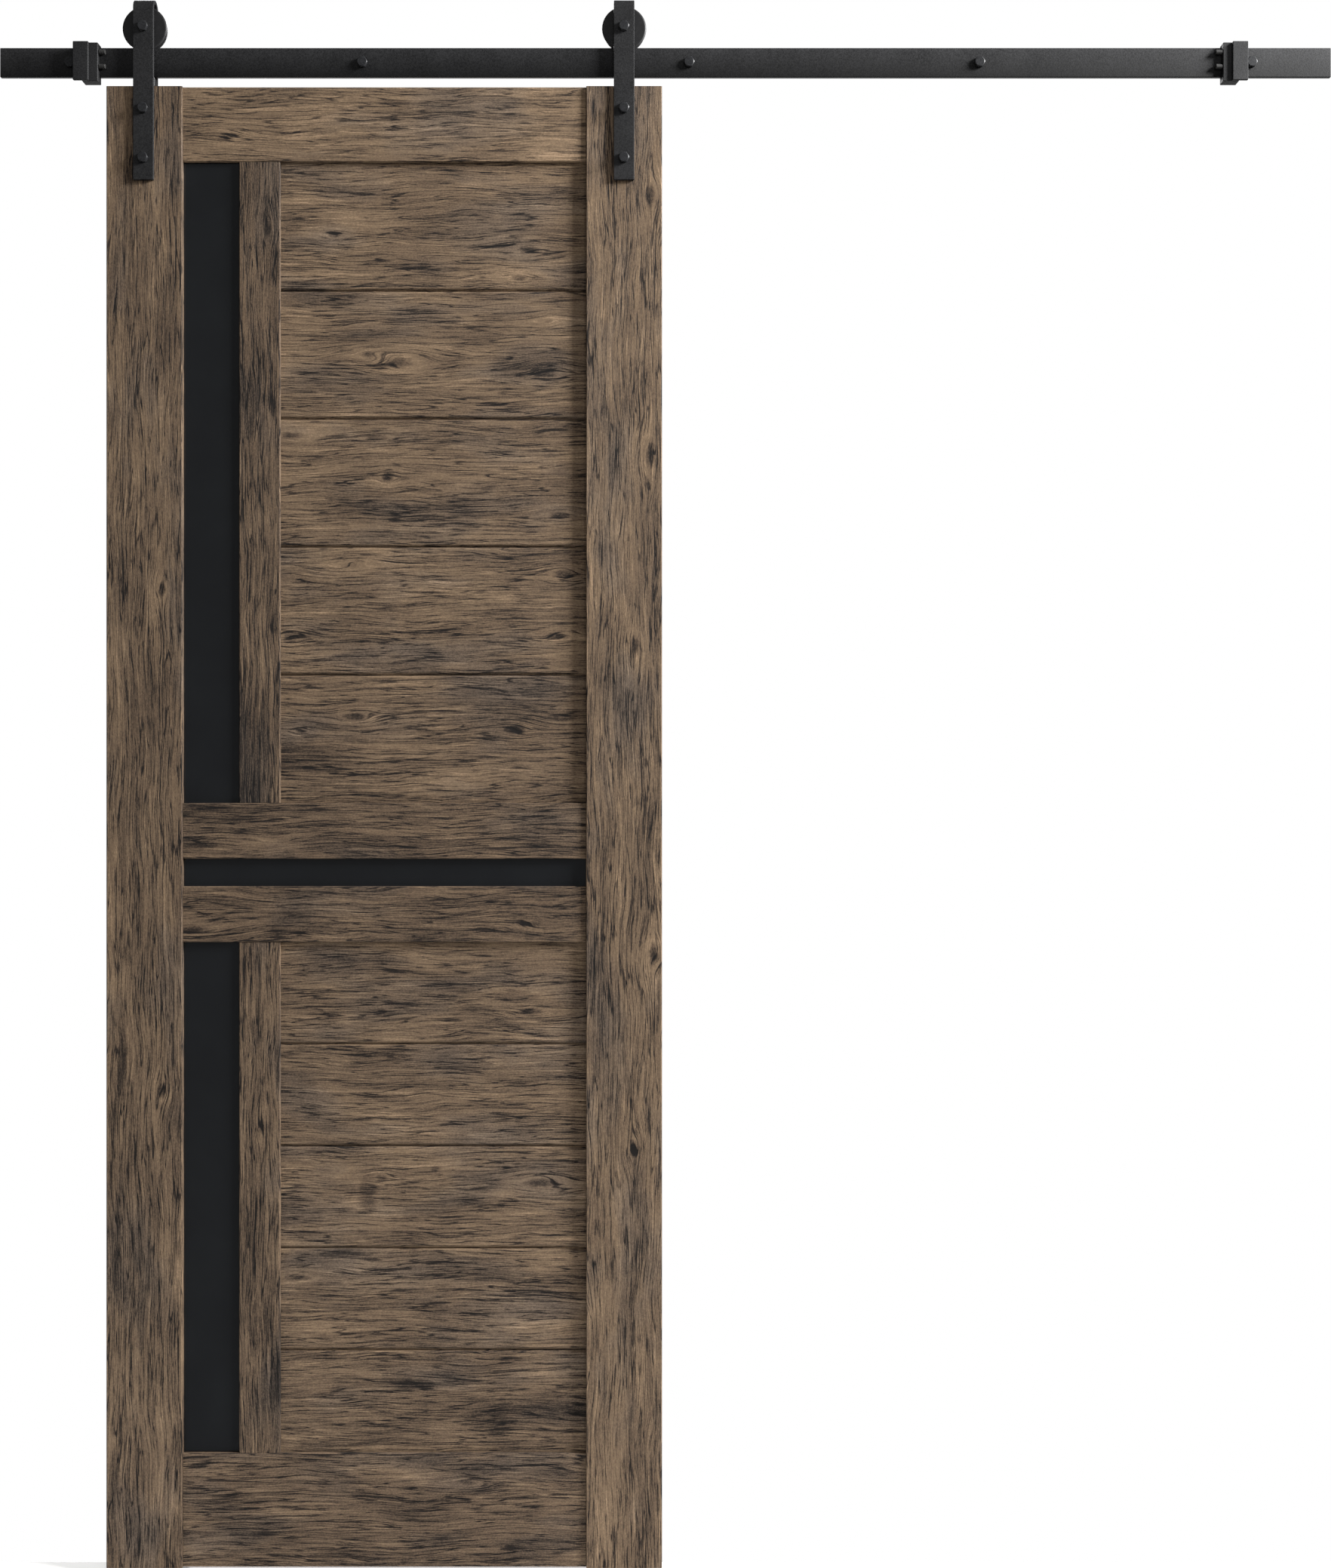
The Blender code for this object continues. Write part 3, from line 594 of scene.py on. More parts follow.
class Palette:
    """The finishes that the pieces share."""

    def __init__(self, axles: tuple[Point2, ...]) -> None:
        """Set the finishes out.

        Args:
            axles: The (X, Z) of each wheel's axle, in metres.
        """
        # the bar's colour carries painted light and shade, lighter at its top edge and darker at its lower
        # edge
        self.bar = PaintedShadeBarCoat(
            "powder_coated_bar_painted_shade", "black_steel", "#151516", 0.5, specular=0.38, low="#0b0b0c", high="#222223"
        )
        self.steel = PowderCoat(
            "powder_coated_strip", "black_steel", "#242425", 0.55, specular=0.27, low="#19191a", high="#303031"
        )
        self.fastener = PowderCoat(
            "black_zinc_fastener",
            "black_fastener",
            "#242527",
            0.42,
            specular=0.4,
            low="#1b1b1d",
            high="#2f3032",
            depth_mm=0.02,
        )
        self.bearing = BearingSteel("ground_bearing_steel", "bearing_steel", "#a9abae", 0.28, 1.0)
        self.nylon = TurnedNylon("turned_black_nylon", "black_nylon", "#262627", 0.45, axles=axles)
        self.rubber = MouldedRubber("moulded_rubber", "rubber", "#262626", 0.75)
        self.glass = BlackGlass("back_painted_glass", "black_glass", "#18191b", 0.04)


# Meshes


def centre(node: str, depth: float) -> Vector:
    """Give the middle of a CAD node as the front view shows it, at a depth."""
    low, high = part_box(node)
    return Vector(((low.x + high.x) / 2, depth, (low.z + high.z) / 2))


def finish_mesh(name: str, form: Form, place: Matrix) -> Obj:
    """Turn a form into a smooth-shaded object in the scene.

    Args:
        name: The piece's name.
        form: The shape, which is freed.
        place: Where it goes.

    Returns:
        The object, with its place in its mesh.
    """
    bmesh.ops.remove_doubles(form, verts=form.verts, dist=WELD)
    bmesh.ops.recalc_face_normals(form, faces=form.faces)
    mesh = bpy.data.meshes.new(name)
    form.to_mesh(mesh)
    form.free()
    mesh.transform(place)
    mesh.shade_smooth()
    mesh.set_sharp_from_angle(angle=SMOOTH_ANGLE)
    obj = bpy.data.objects.new(name, mesh)
    bpy.context.scene.collection.objects.link(obj)
    return obj


def round_edges(form: Form, width: float) -> None:
    """Round every sharp edge of a form.

    Args:
        form: The shape.
        width: How far the rounding reaches from the edge.
    """
    sharp = [e for e in form.edges if len(e.link_faces) == 2 and e.calc_face_angle(0.0) > SMOOTH_ANGLE]
    bmesh.ops.bevel(form, geom=sharp, offset=width, segments=EDGE_STEPS, profile=0.5, affect="EDGES")


def flatten_normals(obj: Obj) -> Obj:
    """Keep the large faces of a rounded shape flat in the light.

    Args:
        obj: The shape.

    Returns:
        The same object.
    """
    modifier = obj.modifiers.new("flat_faces", "WEIGHTED_NORMAL")
    modifier.keep_sharp = True
    return obj


def block(name: str, low: Vector, high: Vector, edge: float) -> Obj:
    """Make a box with rounded edges between two corners.

    Args:
        name: The piece's name.
        low: Its low corner.
        high: Its high corner.
        edge: The rounding.

    Returns:
        The box.
    """
    form = bmesh.new()
    bmesh.ops.create_cube(form, size=1)
    bmesh.ops.scale(form, vec=high - low, verts=form.verts)
    round_edges(form, edge)
    return flatten_normals(finish_mesh(name, form, Matrix.Translation((low + high) / 2)))


def turn(name: str, profile: Sequence[Point2], place: Matrix, steps: int = ROUND_STEPS) -> Obj:
    """Turn a closed profile of (radius, height) points about its own Z.

    Args:
        name: The piece's name.
        profile: The points. One on the axis has a radius of nought.
        place: Where it goes.
        steps: Steps round the turn.

    Returns:
        The turned object.
    """
    form = bmesh.new()
    points = [form.verts.new((radius, 0, height)) for radius, height in profile]
    loop = [form.edges.new((a, b)) for a, b in zip(points, points[1:] + points[:1])]
    on_axis = [e for e in loop if all(abs(v.co.x) < WELD for v in e.verts)]
    for edge in on_axis:
        form.edges.remove(edge)
        loop.remove(edge)
    spun = {"cent": (0, 0, 0), "axis": (0, 0, 1), "angle": math.tau, "steps": steps}
    bmesh.ops.spin(form, geom=points + loop, use_merge=True, **spun)
    return flatten_normals(finish_mesh(name, form, place))


def tube(bore: float, rim: float, start: float, end: float) -> list[Point2]:
    """Give the outline that turns into a plain tube between two heights."""
    return [(bore, start), (rim, start), (rim, end), (bore, end)]


def soften(points: Sequence[Point2], radius: float, steps: int = 4) -> list[Point2]:
    """Round the corners of a closed outline, except those on the axis.

    Args:
        points: The outline.
        radius: The rounding's reach along each side.
        steps: Points less one in each rounding.

    Returns:
        The outline with a smooth curve at each corner.
    """
    made: list[Point2] = []
    for index, here in enumerate(points):
        corner = Vector(here)
        before = Vector(points[index - 1])
        after = Vector(points[(index + 1) % len(points)])
        reach = min(radius, 0.45 * (before - corner).length, 0.45 * (after - corner).length)
        if abs(corner.x) < WELD:
            made.append(here)
            continue
        start = corner + (before - corner).normalized() * reach
        end = corner + (after - corner).normalized() * reach
        for step in range(steps + 1):
            share = step / steps
            spot = start * (1 - share) ** 2 + corner * 2 * share * (1 - share) + end * share**2
            made.append((spot.x, spot.y))
    return made


def extrude(name: str, outline: Sequence[Point2], low_x: float, high_x: float, edge: float) -> Obj:
    """Extrude an outline of (Y, Z) points along X, with its rim rounded.

    Args:
        name: The piece's name.
        outline: The section.
        low_x: Where it starts.
        high_x: Where it ends.
        edge: The rim's rounding.

    Returns:
        The extruded object.
    """
    form = bmesh.new()
    face = form.faces.new([form.verts.new((low_x, y, z)) for y, z in outline])
    made = bmesh.ops.extrude_face_region(form, geom=[face])["geom"]
    moved = [item for item in made if isinstance(item, bmesh.types.BMVert)]
    bmesh.ops.translate(form, vec=(high_x - low_x, 0, 0), verts=moved)
    bmesh.ops.recalc_face_normals(form, faces=form.faces)
    round_edges(form, edge)
    return flatten_normals(finish_mesh(name, form, Matrix.Identity(4)))


def cut(obj: Obj, cutter: Obj) -> None:
    """Take a cutter out of an object for good, and remove the cutter.

    Args:
        obj: What is cut.
        cutter: The shape that is taken out of it.
    """
    modifier = obj.modifiers.new("cut", "BOOLEAN")
    modifier.object = cutter
    modifier.solver = "EXACT"
    while obj.modifiers[0] != modifier:
        obj.modifiers.move(len(obj.modifiers) - 1, 0)
    others = [m for m in obj.modifiers if m != modifier]
    for other in others:
        other.show_viewport = False
    graph = bpy.context.evaluated_depsgraph_get()
    mesh = bpy.data.meshes.new_from_object(obj.evaluated_get(graph))
    obj.modifiers.remove(modifier)
    obj.data = mesh
    for other in others:
        other.show_viewport = True
    bpy.data.objects.remove(cutter, do_unlink=True)


def facing(place: Vector, way: Vector) -> Matrix:
    """Stand a turned shape's own Z along a way, at a place."""
    return Matrix.Translation(place) @ way.to_track_quat("Z", "Y").to_matrix().to_4x4()


def drill(obj: Obj, place: Vector, way: Vector, radius: float, depth: float) -> None:
    """Drill a round hole both ways from a place.

    Args:
        obj: What is drilled.
        place: The hole's middle.
        way: The hole's direction.
        radius: Its radius.
        depth: How far it runs each way.
    """
    profile = [(0.0, depth), (radius, depth), (radius, -depth), (0.0, -depth)]
    cut(obj, turn("drill", profile, facing(place, way), DRILL_STEPS))


def skin(form: Form, rings: Sequence[Sequence[bmesh.types.BMVert]]) -> None:
    """Close a stack of rings into one skin, with a face on the first ring and on the last.

    Args:
        form: The form that the rings are in.
        rings: The rings' points, from the top down.
    """
    form.faces.new(rings[0])
    form.faces.new(rings[-1][::-1])
    for upper, lower in zip(rings, rings[1:]):
        for index, corner in enumerate(upper):
            after = (index + 1) % len(upper)
            form.faces.new((corner, lower[index], lower[after], upper[after]))


def bolt_head(form: Form, flats: float, height: float, base: float) -> None:
    """Add a hexagon head whose corners are cut by a cone.

    Args:
        form: The form it is added to.
        flats: The width across the flats.
        height: How far the top stands over nought.
        base: Where the underside is.
    """
    sector = math.tau / HEX_SIDES
    crown = CROWN_SHARE * flats / 2
    rings: list[list[bmesh.types.BMVert]] = [[], [], [], []]
    for step in range(HEAD_STEPS):
        angle = math.tau * step / HEAD_STEPS
        off = (angle + sector / 2) % sector - sector / 2
        side = flats / 2 / math.cos(sector / 2 - abs(off))
        drop = (side - crown) * CROWN_SLOPE
        levels = (height, height - drop, base + drop * FOOT_SHARE, base)
        way = Vector((math.cos(angle), math.sin(angle), 0))
        for ring, radius, level in zip(rings, (crown, side, side, crown), levels):
            ring.append(form.verts.new(way * radius + Vector((0, 0, level))))
    skin(form, rings)


@dataclass(frozen=True)
class Thread:
    """A screw thread: where it runs on the shank, its pitch, its depth and how finely it is drawn."""

    start: float
    end: float
    pitch: float
    depth: float
    around: int = 28
    rows_a_turn: int = 8
    crest: float = 0.6

    def depth_at(self, level: float, share: float) -> float:
        """Work out how deep the thread is at a point of the shank.

        Args:
            level: The point's height.
            share: How far round it is, from nought to one.

        Returns:
            The depth under the crests.
        """
        wave = abs(((level / self.pitch - share) % 1.0) * 2 - 1)
        fade = min(1.0, max(0.0, (self.start - level) / self.pitch))
        return self.depth * fade * (1 - max(0.0, (1 + self.crest) * wave - self.crest))


def threaded_shank(form: Form, radius: float, top: float, tip: float, thread: Thread, point: float) -> None:
    """Add a shank with a helical thread, as one closed skin.

    Args:
        form: The form it is added to.
        radius: The shank's radius, over the thread's crests.
        top: Where the shank starts, inside the head.
        tip: Where it ends.
        thread: The thread.
        point: How long the point is, or nought for a flat end with a chamfer.
    """
    step = thread.pitch / thread.rows_a_turn
    count = int((thread.start - thread.end) / step)
    levels = [top] + [thread.start - step * index for index in range(count + 1)]
    if levels[-1] - tip > WELD:
        levels.append(tip)
    rings = []
    for level in levels:
        ring = []
        for index in range(thread.around):
            share = index / thread.around
            reach = radius - thread.depth_at(level, share)
            if point:
                reach *= min(1.0, max(TIP_SHARE, (level - tip) / point))
            else:
                reach -= max(0.0, thread.depth - (level - tip))
            angle = math.tau * share
            ring.append(form.verts.new((reach * math.cos(angle), reach * math.sin(angle), level)))
        rings.append(ring)
    skin(form, rings)


# Sub-assemblies


@dataclass
class Assembly:
    """What every sub-assembly does with a piece that it has made."""

    palette: Palette

    def place_piece(self, obj: Obj, finish: Finish, body: str, node: str = "") -> None:
        """Dress a piece and put it on its body.

        Args:
            obj: The piece.
            finish: What it is made of.
            body: The CAD body that it moves with.
            node: The CAD node that it stands for, if it stands for one.
        """
        obj.data.materials.clear()
        obj.data.materials.append(finish.build())
        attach(obj, body)
        if node:
            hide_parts(node)
        LOG.info("%s rides on %s in %s", obj.name, body, finish.name)

    def dress_node(self, node: str, finish: Finish) -> None:
        """Give a CAD node that keeps its shape its finish.

        Args:
            node: The node's name.
            finish: What it is made of.
        """
        obj = bpy.data.objects[node]
        obj.data.materials.clear()
        obj.data.materials.append(finish.build())
        LOG.info("%s keeps its solid in %s", node, finish.name)


@dataclass
class HexFastener:
    """A hexagon bolt, made where its CAD solid lies with its head to the front."""

    node: str
    flats: float = 13.0 * MM
    height: float = 5.0 * MM
    radius: float = 4.0 * MM
    pitch: float = 1.25 * MM
    depth: float = 0.6 * MM
    threaded: float = 22.0 * MM
    point: float = 0.0

    def make(self) -> Obj:
        """Build the head and the threaded shank as one mesh of two closed skins."""
        low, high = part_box(self.node)
        seat = centre(self.node, low.y + self.height)
        length = high.y - seat.y
        form = bmesh.new()
        bolt_head(form, self.flats, self.height, 0.0)
        start = -max(length - self.threaded, self.pitch)
        thread = Thread(start, -length, self.pitch, self.depth)
        threaded_shank(form, self.radius, self.height / 2, -length, thread, self.point)
        return finish_mesh(f"{self.node}_hex", form, facing(seat, TO_FRONT))


@dataclass
class Track(Assembly):
    """The flat rail, its spacers and its lag screws."""

    screws: int = 5
    rail_edge: float = 0.8 * MM
    hole_radius: float = 4.3 * MM
    drill_reach: float = 10.0 * MM
    spacer_chamfer: float = 0.6 * MM
    lag_pitch: float = 3.4 * MM
    lag_depth: float = 1.1 * MM
    lag_threaded: float = 46.0 * MM
    lag_point: float = 10.0 * MM

    def build(self) -> None:
        """Make the rail and what fastens it."""
        low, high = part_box("track_rail")
        rail = block("flat_rail", low, high, self.rail_edge)
        for index in range(1, self.screws + 1):
            self.make_spacer(index)
            screw = HexFastener(
                f"lag_screw_{index}",
                pitch=self.lag_pitch,
                depth=self.lag_depth,
                threaded=self.lag_threaded,
                point=self.lag_point,
            )
            self.place_piece(screw.make(), self.palette.fastener, "track", screw.node)
            middle = centre(screw.node, (low.y + high.y) / 2)
            drill(rail, middle, TO_BACK, self.hole_radius, self.drill_reach)
        self.place_piece(rail, self.palette.bar, "track", "track_rail")

    def make_spacer(self, index: int) -> None:
        """Turn one tube spacer with chamfered ends.

        Args:
            index: Its number from the left.
        """
        node = f"wall_spacer_{index}"
        low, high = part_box(node)
        outline = tube(self.hole_radius, (high.x - low.x) / 2, 0.0, high.y - low.y)
        place = facing(centre(node, high.y), TO_FRONT)
        spacer = turn(f"tube_spacer_{index}", soften(outline, self.spacer_chamfer), place)
        self.place_piece(spacer, self.palette.steel, "track", node)


@dataclass
class EndStop(Assembly):
    """One end stop: a body round the rail, a plate on its front and two rubber bumpers."""

    side: str
    body_edge: float = 1.0 * MM
    slot_gap: float = 0.3 * MM
    slot_edge: float = 0.2 * MM
    slot_over: float = 10.0 * MM
    pin_radius: float = 1.5 * MM
    bumper_round: float = 1.1 * MM
    bumper_steps: int = 6

    def build(self) -> None:
        """Make the stop at one end of the rail."""
        node = f"{self.side}_stop_body"
        low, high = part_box(node)
        body = block(f"{self.side}_stop_block", low, high, self.body_edge)
        rail_low, rail_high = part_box("track_rail")
        gap = Vector((self.slot_over, self.slot_gap, self.slot_gap))
        slot_low = Vector((low.x, rail_low.y, rail_low.z)) - gap
        slot_high = Vector((high.x, rail_high.y, rail_high.z)) + gap
        cut(body, block("slot", slot_low, slot_high, self.slot_edge))
        for level in LEVELS:
            self.make_bumper(level, body)
        self.place_piece(body, self.palette.steel, "track", node)

        node = f"{self.side}_stop_plate"
        plate = block(f"{self.side}_stop_cover", *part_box(node), self.body_edge)
        self.place_piece(plate, self.palette.steel, "track", node)

    def make_bumper(self, level: str, body: Obj) -> None:
        """Turn one rubber bumper and drill its hole in the stop's body.

        Args:
            level: "upper" or "lower".
            body: The stop's body.
        """
        node = f"{self.side}_{level}_bumper"
        low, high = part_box(node)
        inboard = 1 if self.side == "left" else -1
        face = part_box(f"{self.side}_stop_body")[1 if inboard > 0 else 0].x
        radius = (high.z - low.z) / 2
        tip = high.x - face if inboard > 0 else face - low.x
        tail = face - low.x if inboard > 0 else high.x - face
        foot = self.slot_gap
        head = [(0.0, tip), (radius, tip), (radius, foot), (self.pin_radius, foot)]
        outline = soften(head, self.bumper_round, self.bumper_steps)
        outline += [(self.pin_radius, -tail), (0.0, -tail)]
        way = Vector((inboard, 0, 0))
        place = Vector((face, (low.y + high.y) / 2, (low.z + high.z) / 2))
        bumper = turn(f"{self.side}_{level}_buffer", outline, facing(place, way))
        drill(body, place, way, self.pin_radius + self.slot_gap, tail + self.slot_gap)
        self.place_piece(bumper, self.palette.rubber, "track", node)


@dataclass
class RollingSet(Assembly):
    """One grooved wheel with its ball bearing and the sleeve on its axle."""

    side: str
    axle_hole: float = 4.3 * MM
    tread_gap: float = 0.3 * MM
    groove_play: float = 0.6 * MM
    front_flare: float = 1.2 * MM
    back_flare: float = 1.0 * MM
    back_step: float = 2.0 * MM
    rim_chamfer: Point2 = (1.8 * MM, 1.0 * MM)
    hub_hole: float = 9.0 * MM
    seat_radius: float = 11.3 * MM
    seat_end: float = 3.8 * MM
    wheel_round: float = 0.7 * MM
    wheel_steps: int = 128
    bearing_half: float = 3.5 * MM
    sleeve_wall: float = 2.0 * MM
    sleeve_gap: float = 0.05 * MM
    inner_race: float = 7.2 * MM
    shield: Point2 = (7.4 * MM, 9.2 * MM)
    shield_depth: Point2 = (0.3 * MM, 0.9 * MM)
    outer_race: Point2 = (9.4 * MM, 11.0 * MM)
    race_round: float = 0.25 * MM
    rail_low: Vector = field(init=False)
    rail_high: Vector = field(init=False)
    axle: Vector = field(init=False)

    def build(self) -> None:
        """Turn the wheel and its bearing about the axle."""
        self.rail_low, self.rail_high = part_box("track_rail")
        self.axle = centre(f"{self.side}_wheel", (self.rail_low.y + self.rail_high.y) / 2)
        self.make_wheel()
        self.make_bearing()

    def make_wheel(self) -> None:
        """Turn the grooved wheel, with a chamfer round its front rim."""
        node = f"{self.side}_wheel"
        low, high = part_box(node)
        rim = (high.z - low.z) / 2
        back_rim = rim - self.back_step
        tread = self.axle.z - self.rail_high.z - self.tread_gap
        half = (self.rail_high.y - self.rail_low.y) / 2 + self.groove_play
        front, back = self.axle.y - low.y, self.axle.y - high.y
        inset, drop = self.rim_chamfer
        outline = [
            (self.hub_hole, front),
            (rim - inset, front),
            (rim, front - drop),
            (rim, half + self.front_flare),
            (tread, half),
            (tread, -half),
            (back_rim, -half - self.back_flare),
            (back_rim, back),
            (self.seat_radius, back),
            (self.seat_radius, self.seat_end),
            (self.hub_hole, self.seat_end),
        ]
        place = facing(self.axle, TO_FRONT)
        wheel = turn(f"{self.side}_grooved_wheel", soften(outline, self.wheel_round), place, self.wheel_steps)
        self.place_piece(wheel, self.palette.nylon, node, node)

    def make_bearing(self) -> None:
        """Turn the bearing's races, its two shields and the sleeve through it."""
        node = f"{self.side}_wheel_bearing"
        low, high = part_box(node)
        half = self.bearing_half
        outside, inside = (half - depth for depth in self.shield_depth)
        sleeve = self.axle_hole + self.sleeve_wall
        parts = {
            # name: bore, rim, front, back
            "outer_race": (*self.outer_race, half, -half),
            "front_shield": (*self.shield, outside, inside),
            "back_shield": (*self.shield, -inside, -outside),
            "inner_race": (sleeve + self.sleeve_gap, self.inner_race, half, -half),
            "axle_sleeve": (self.axle_hole, sleeve, self.axle.y - low.y, self.axle.y - high.y),
        }
        for name, sizes in parts.items():
            ring = turn(
                f"{self.side}_{name}", soften(tube(*sizes), self.race_round), facing(self.axle, TO_FRONT)
            )
            finish = self.palette.nylon if "shield" in name else self.palette.bearing
            self.place_piece(ring, finish, f"{self.side}_wheel", node if name == "axle_sleeve" else "")


@dataclass
class Hanger(Assembly):
    """One bent strap with its axle bolt, door bolts, barrel nuts and anti-jump block."""

    side: str
    thickness: float = 5.0 * MM
    strap_edge: float = 0.7 * MM
    hole_radius: float = 4.3 * MM
    drill_reach: float = 9.0 * MM
    back_leg_dip: float = 3.0 * MM
    bend_steps: int = 40
    axle_threaded: float = 11.0 * MM
    bolt_threaded: float = 14.0 * MM
    nut_height: float = 6.0 * MM
    nut_flats: float = 13.0 * MM
    collar: float = 1.6 * MM
    collar_share: float = 0.8  # of the nut's width across the flats
    collar_gap: float = 0.02 * MM
    collar_round: float = 0.6 * MM
    barrel_radius: float = 6.0 * MM
    barrel_gap: float = 0.3 * MM
    barrel_web: float = 0.2 * MM
    barrel_round: float = 0.8 * MM
    socket_radius: float = 2.9 * MM
    socket_reach: float = 4.0 * MM
    socket_floor: Point2 = (0.4 * MM, 0.8 * MM)
    guard_lip_gap: float = 1.0 * MM
    guard_rail_gap: float = 2.0 * MM
    guard_edge: float = 0.7 * MM
    axle: Vector = field(init=False)

    def build(self) -> None:
        """Make the hanger on one stile."""
        self.axle = centre(f"{self.side}_wheel", 0.0)
        self.make_strap()
        self.make_axle()
        for level in LEVELS:
            self.make_bolt(f"{self.side}_{level}_door_bolt", self.bolt_threaded)
            self.make_barrel_nut(level)
        self.make_anti_jump()

    def make_strap(self) -> None:
        """Bend the strap over the wheel and drill it."""
        node = f"{self.side}_hanger_strap"
        low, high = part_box(node)
        outer = (high.y - low.y) / 2
        inner = outer - self.thickness
        middle = Vector((0, (low.y + high.y) / 2, high.z - outer))
        back_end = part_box("track_rail")[1].z - self.back_leg_dip
        turns = [math.pi * step / self.bend_steps for step in range(self.bend_steps + 1)]
        outline = [(low.y, low.z)]
        outline += [(middle.y - outer * math.cos(a), middle.z + outer * math.sin(a)) for a in turns]
        outline += [(high.y, back_end), (high.y - self.thickness, back_end)]
        outline += [(middle.y + inner * math.cos(a), middle.z + inner * math.sin(a)) for a in turns]
        outline += [(low.y + self.thickness, low.z)]
        strap = extrude(f"{self.side}_bent_strap", outline, low.x, high.x, self.strap_edge)
        drill(strap, Vector((self.axle.x, middle.y, self.axle.z)), TO_BACK, self.hole_radius, 2 * outer)
        for level in LEVELS:
            hole = centre(f"{self.side}_{level}_door_bolt", low.y)
            drill(strap, hole, TO_BACK, self.hole_radius, self.drill_reach)
        self.place_piece(strap, self.palette.steel, "carriage", node)

    def make_bolt(self, node: str, threaded: float) -> None:
        """Make one bolt, whose end is threaded as far as is said."""
        bolt = HexFastener(node, threaded=threaded).make()
        self.place_piece(bolt, self.palette.fastener, "carriage", node)

    def make_axle(self) -> None:
        """Make the axle bolt, its lock nut and the nylon collar in the nut."""
        self.make_bolt(f"{self.side}_axle_bolt", self.axle_threaded)
        node = f"{self.side}_axle_nut"
        start = self.nut_height - self.collar
        place = facing(Vector((self.axle.x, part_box(node)[0].y, self.axle.z)), TO_BACK)
        form = bmesh.new()
        bolt_head(form, self.nut_flats, start, 0.0)
        nut = finish_mesh(f"{self.side}_lock_nut", form, place)
        drill(nut, place.translation, TO_BACK, self.hole_radius, 2 * self.nut_height)
        self.place_piece(nut, self.palette.fastener, "carriage", node)
        outer = self.collar_share * self.nut_flats / 2
        outline = tube(self.hole_radius, outer, start + self.collar_gap, self.nut_height)
        collar = turn(f"{self.side}_nut_collar", soften(outline, self.collar_round), place)
        self.place_piece(collar, self.palette.nylon, "carriage")

    def make_barrel_nut(self, level: str) -> None:
        """Turn a barrel nut with a wide head, and cut the key's socket in it.

        Args:
            level: "upper" or "lower".
        """
        node = f"{self.side}_{level}_barrel_nut"
        low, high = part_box(node)
        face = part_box(f"{self.side}_stile")[1].y
        head = (high.x - low.x) / 2
        top, end = high.y - face, low.y - face
        outline = [
            (0.0, top),
            (head, top),
            (head, self.barrel_gap),
            (self.barrel_radius, self.barrel_gap),
            (self.barrel_radius, end),
            (self.hole_radius, end),
            (self.hole_radius, -self.barrel_web),
            (0.0, -self.barrel_web),
        ]
        place = facing(centre(node, face), TO_BACK)
        nut = turn(f"{self.side}_{level}_sleeve_nut", soften(outline, self.barrel_round), place)
        middle, rim = self.socket_floor
        reach, radius = self.socket_reach, self.socket_radius
        socket = [(0.0, reach), (radius, reach), (radius, rim), (0.0, middle)]
        cut(nut, turn("key_socket", socket, place, HEX_SIDES))
        self.place_piece(nut, self.palette.fastener, "carriage", node)

    def make_anti_jump(self) -> None:
        """Mould the block that keeps the door from lifting off the rail."""
        node = f"{self.side}_anti_jump_block"
        low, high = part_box(node)
        rail_low, rail_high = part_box("track_rail")
        lip = rail_high.y + self.guard_lip_gap
        step = rail_low.z - self.guard_rail_gap
        outline = [
            (low.y, low.z),
            (high.y, low.z),
            (high.y, high.z),
            (lip, high.z),
            (lip, step),
            (low.y, step),
        ]
        jump = extrude(f"{self.side}_jump_guard", outline, low.x, high.x, self.guard_edge)
        self.place_piece(jump, self.palette.nylon, "carriage", node)


@dataclass(frozen=True)
class Board:
    """One oak member of the leaf: its node, the way of its grain and its figure."""

    node: str
    grain: Grain
    seed: float
    shade: float = 0.0
    knots: tuple[Knot, ...] = ()


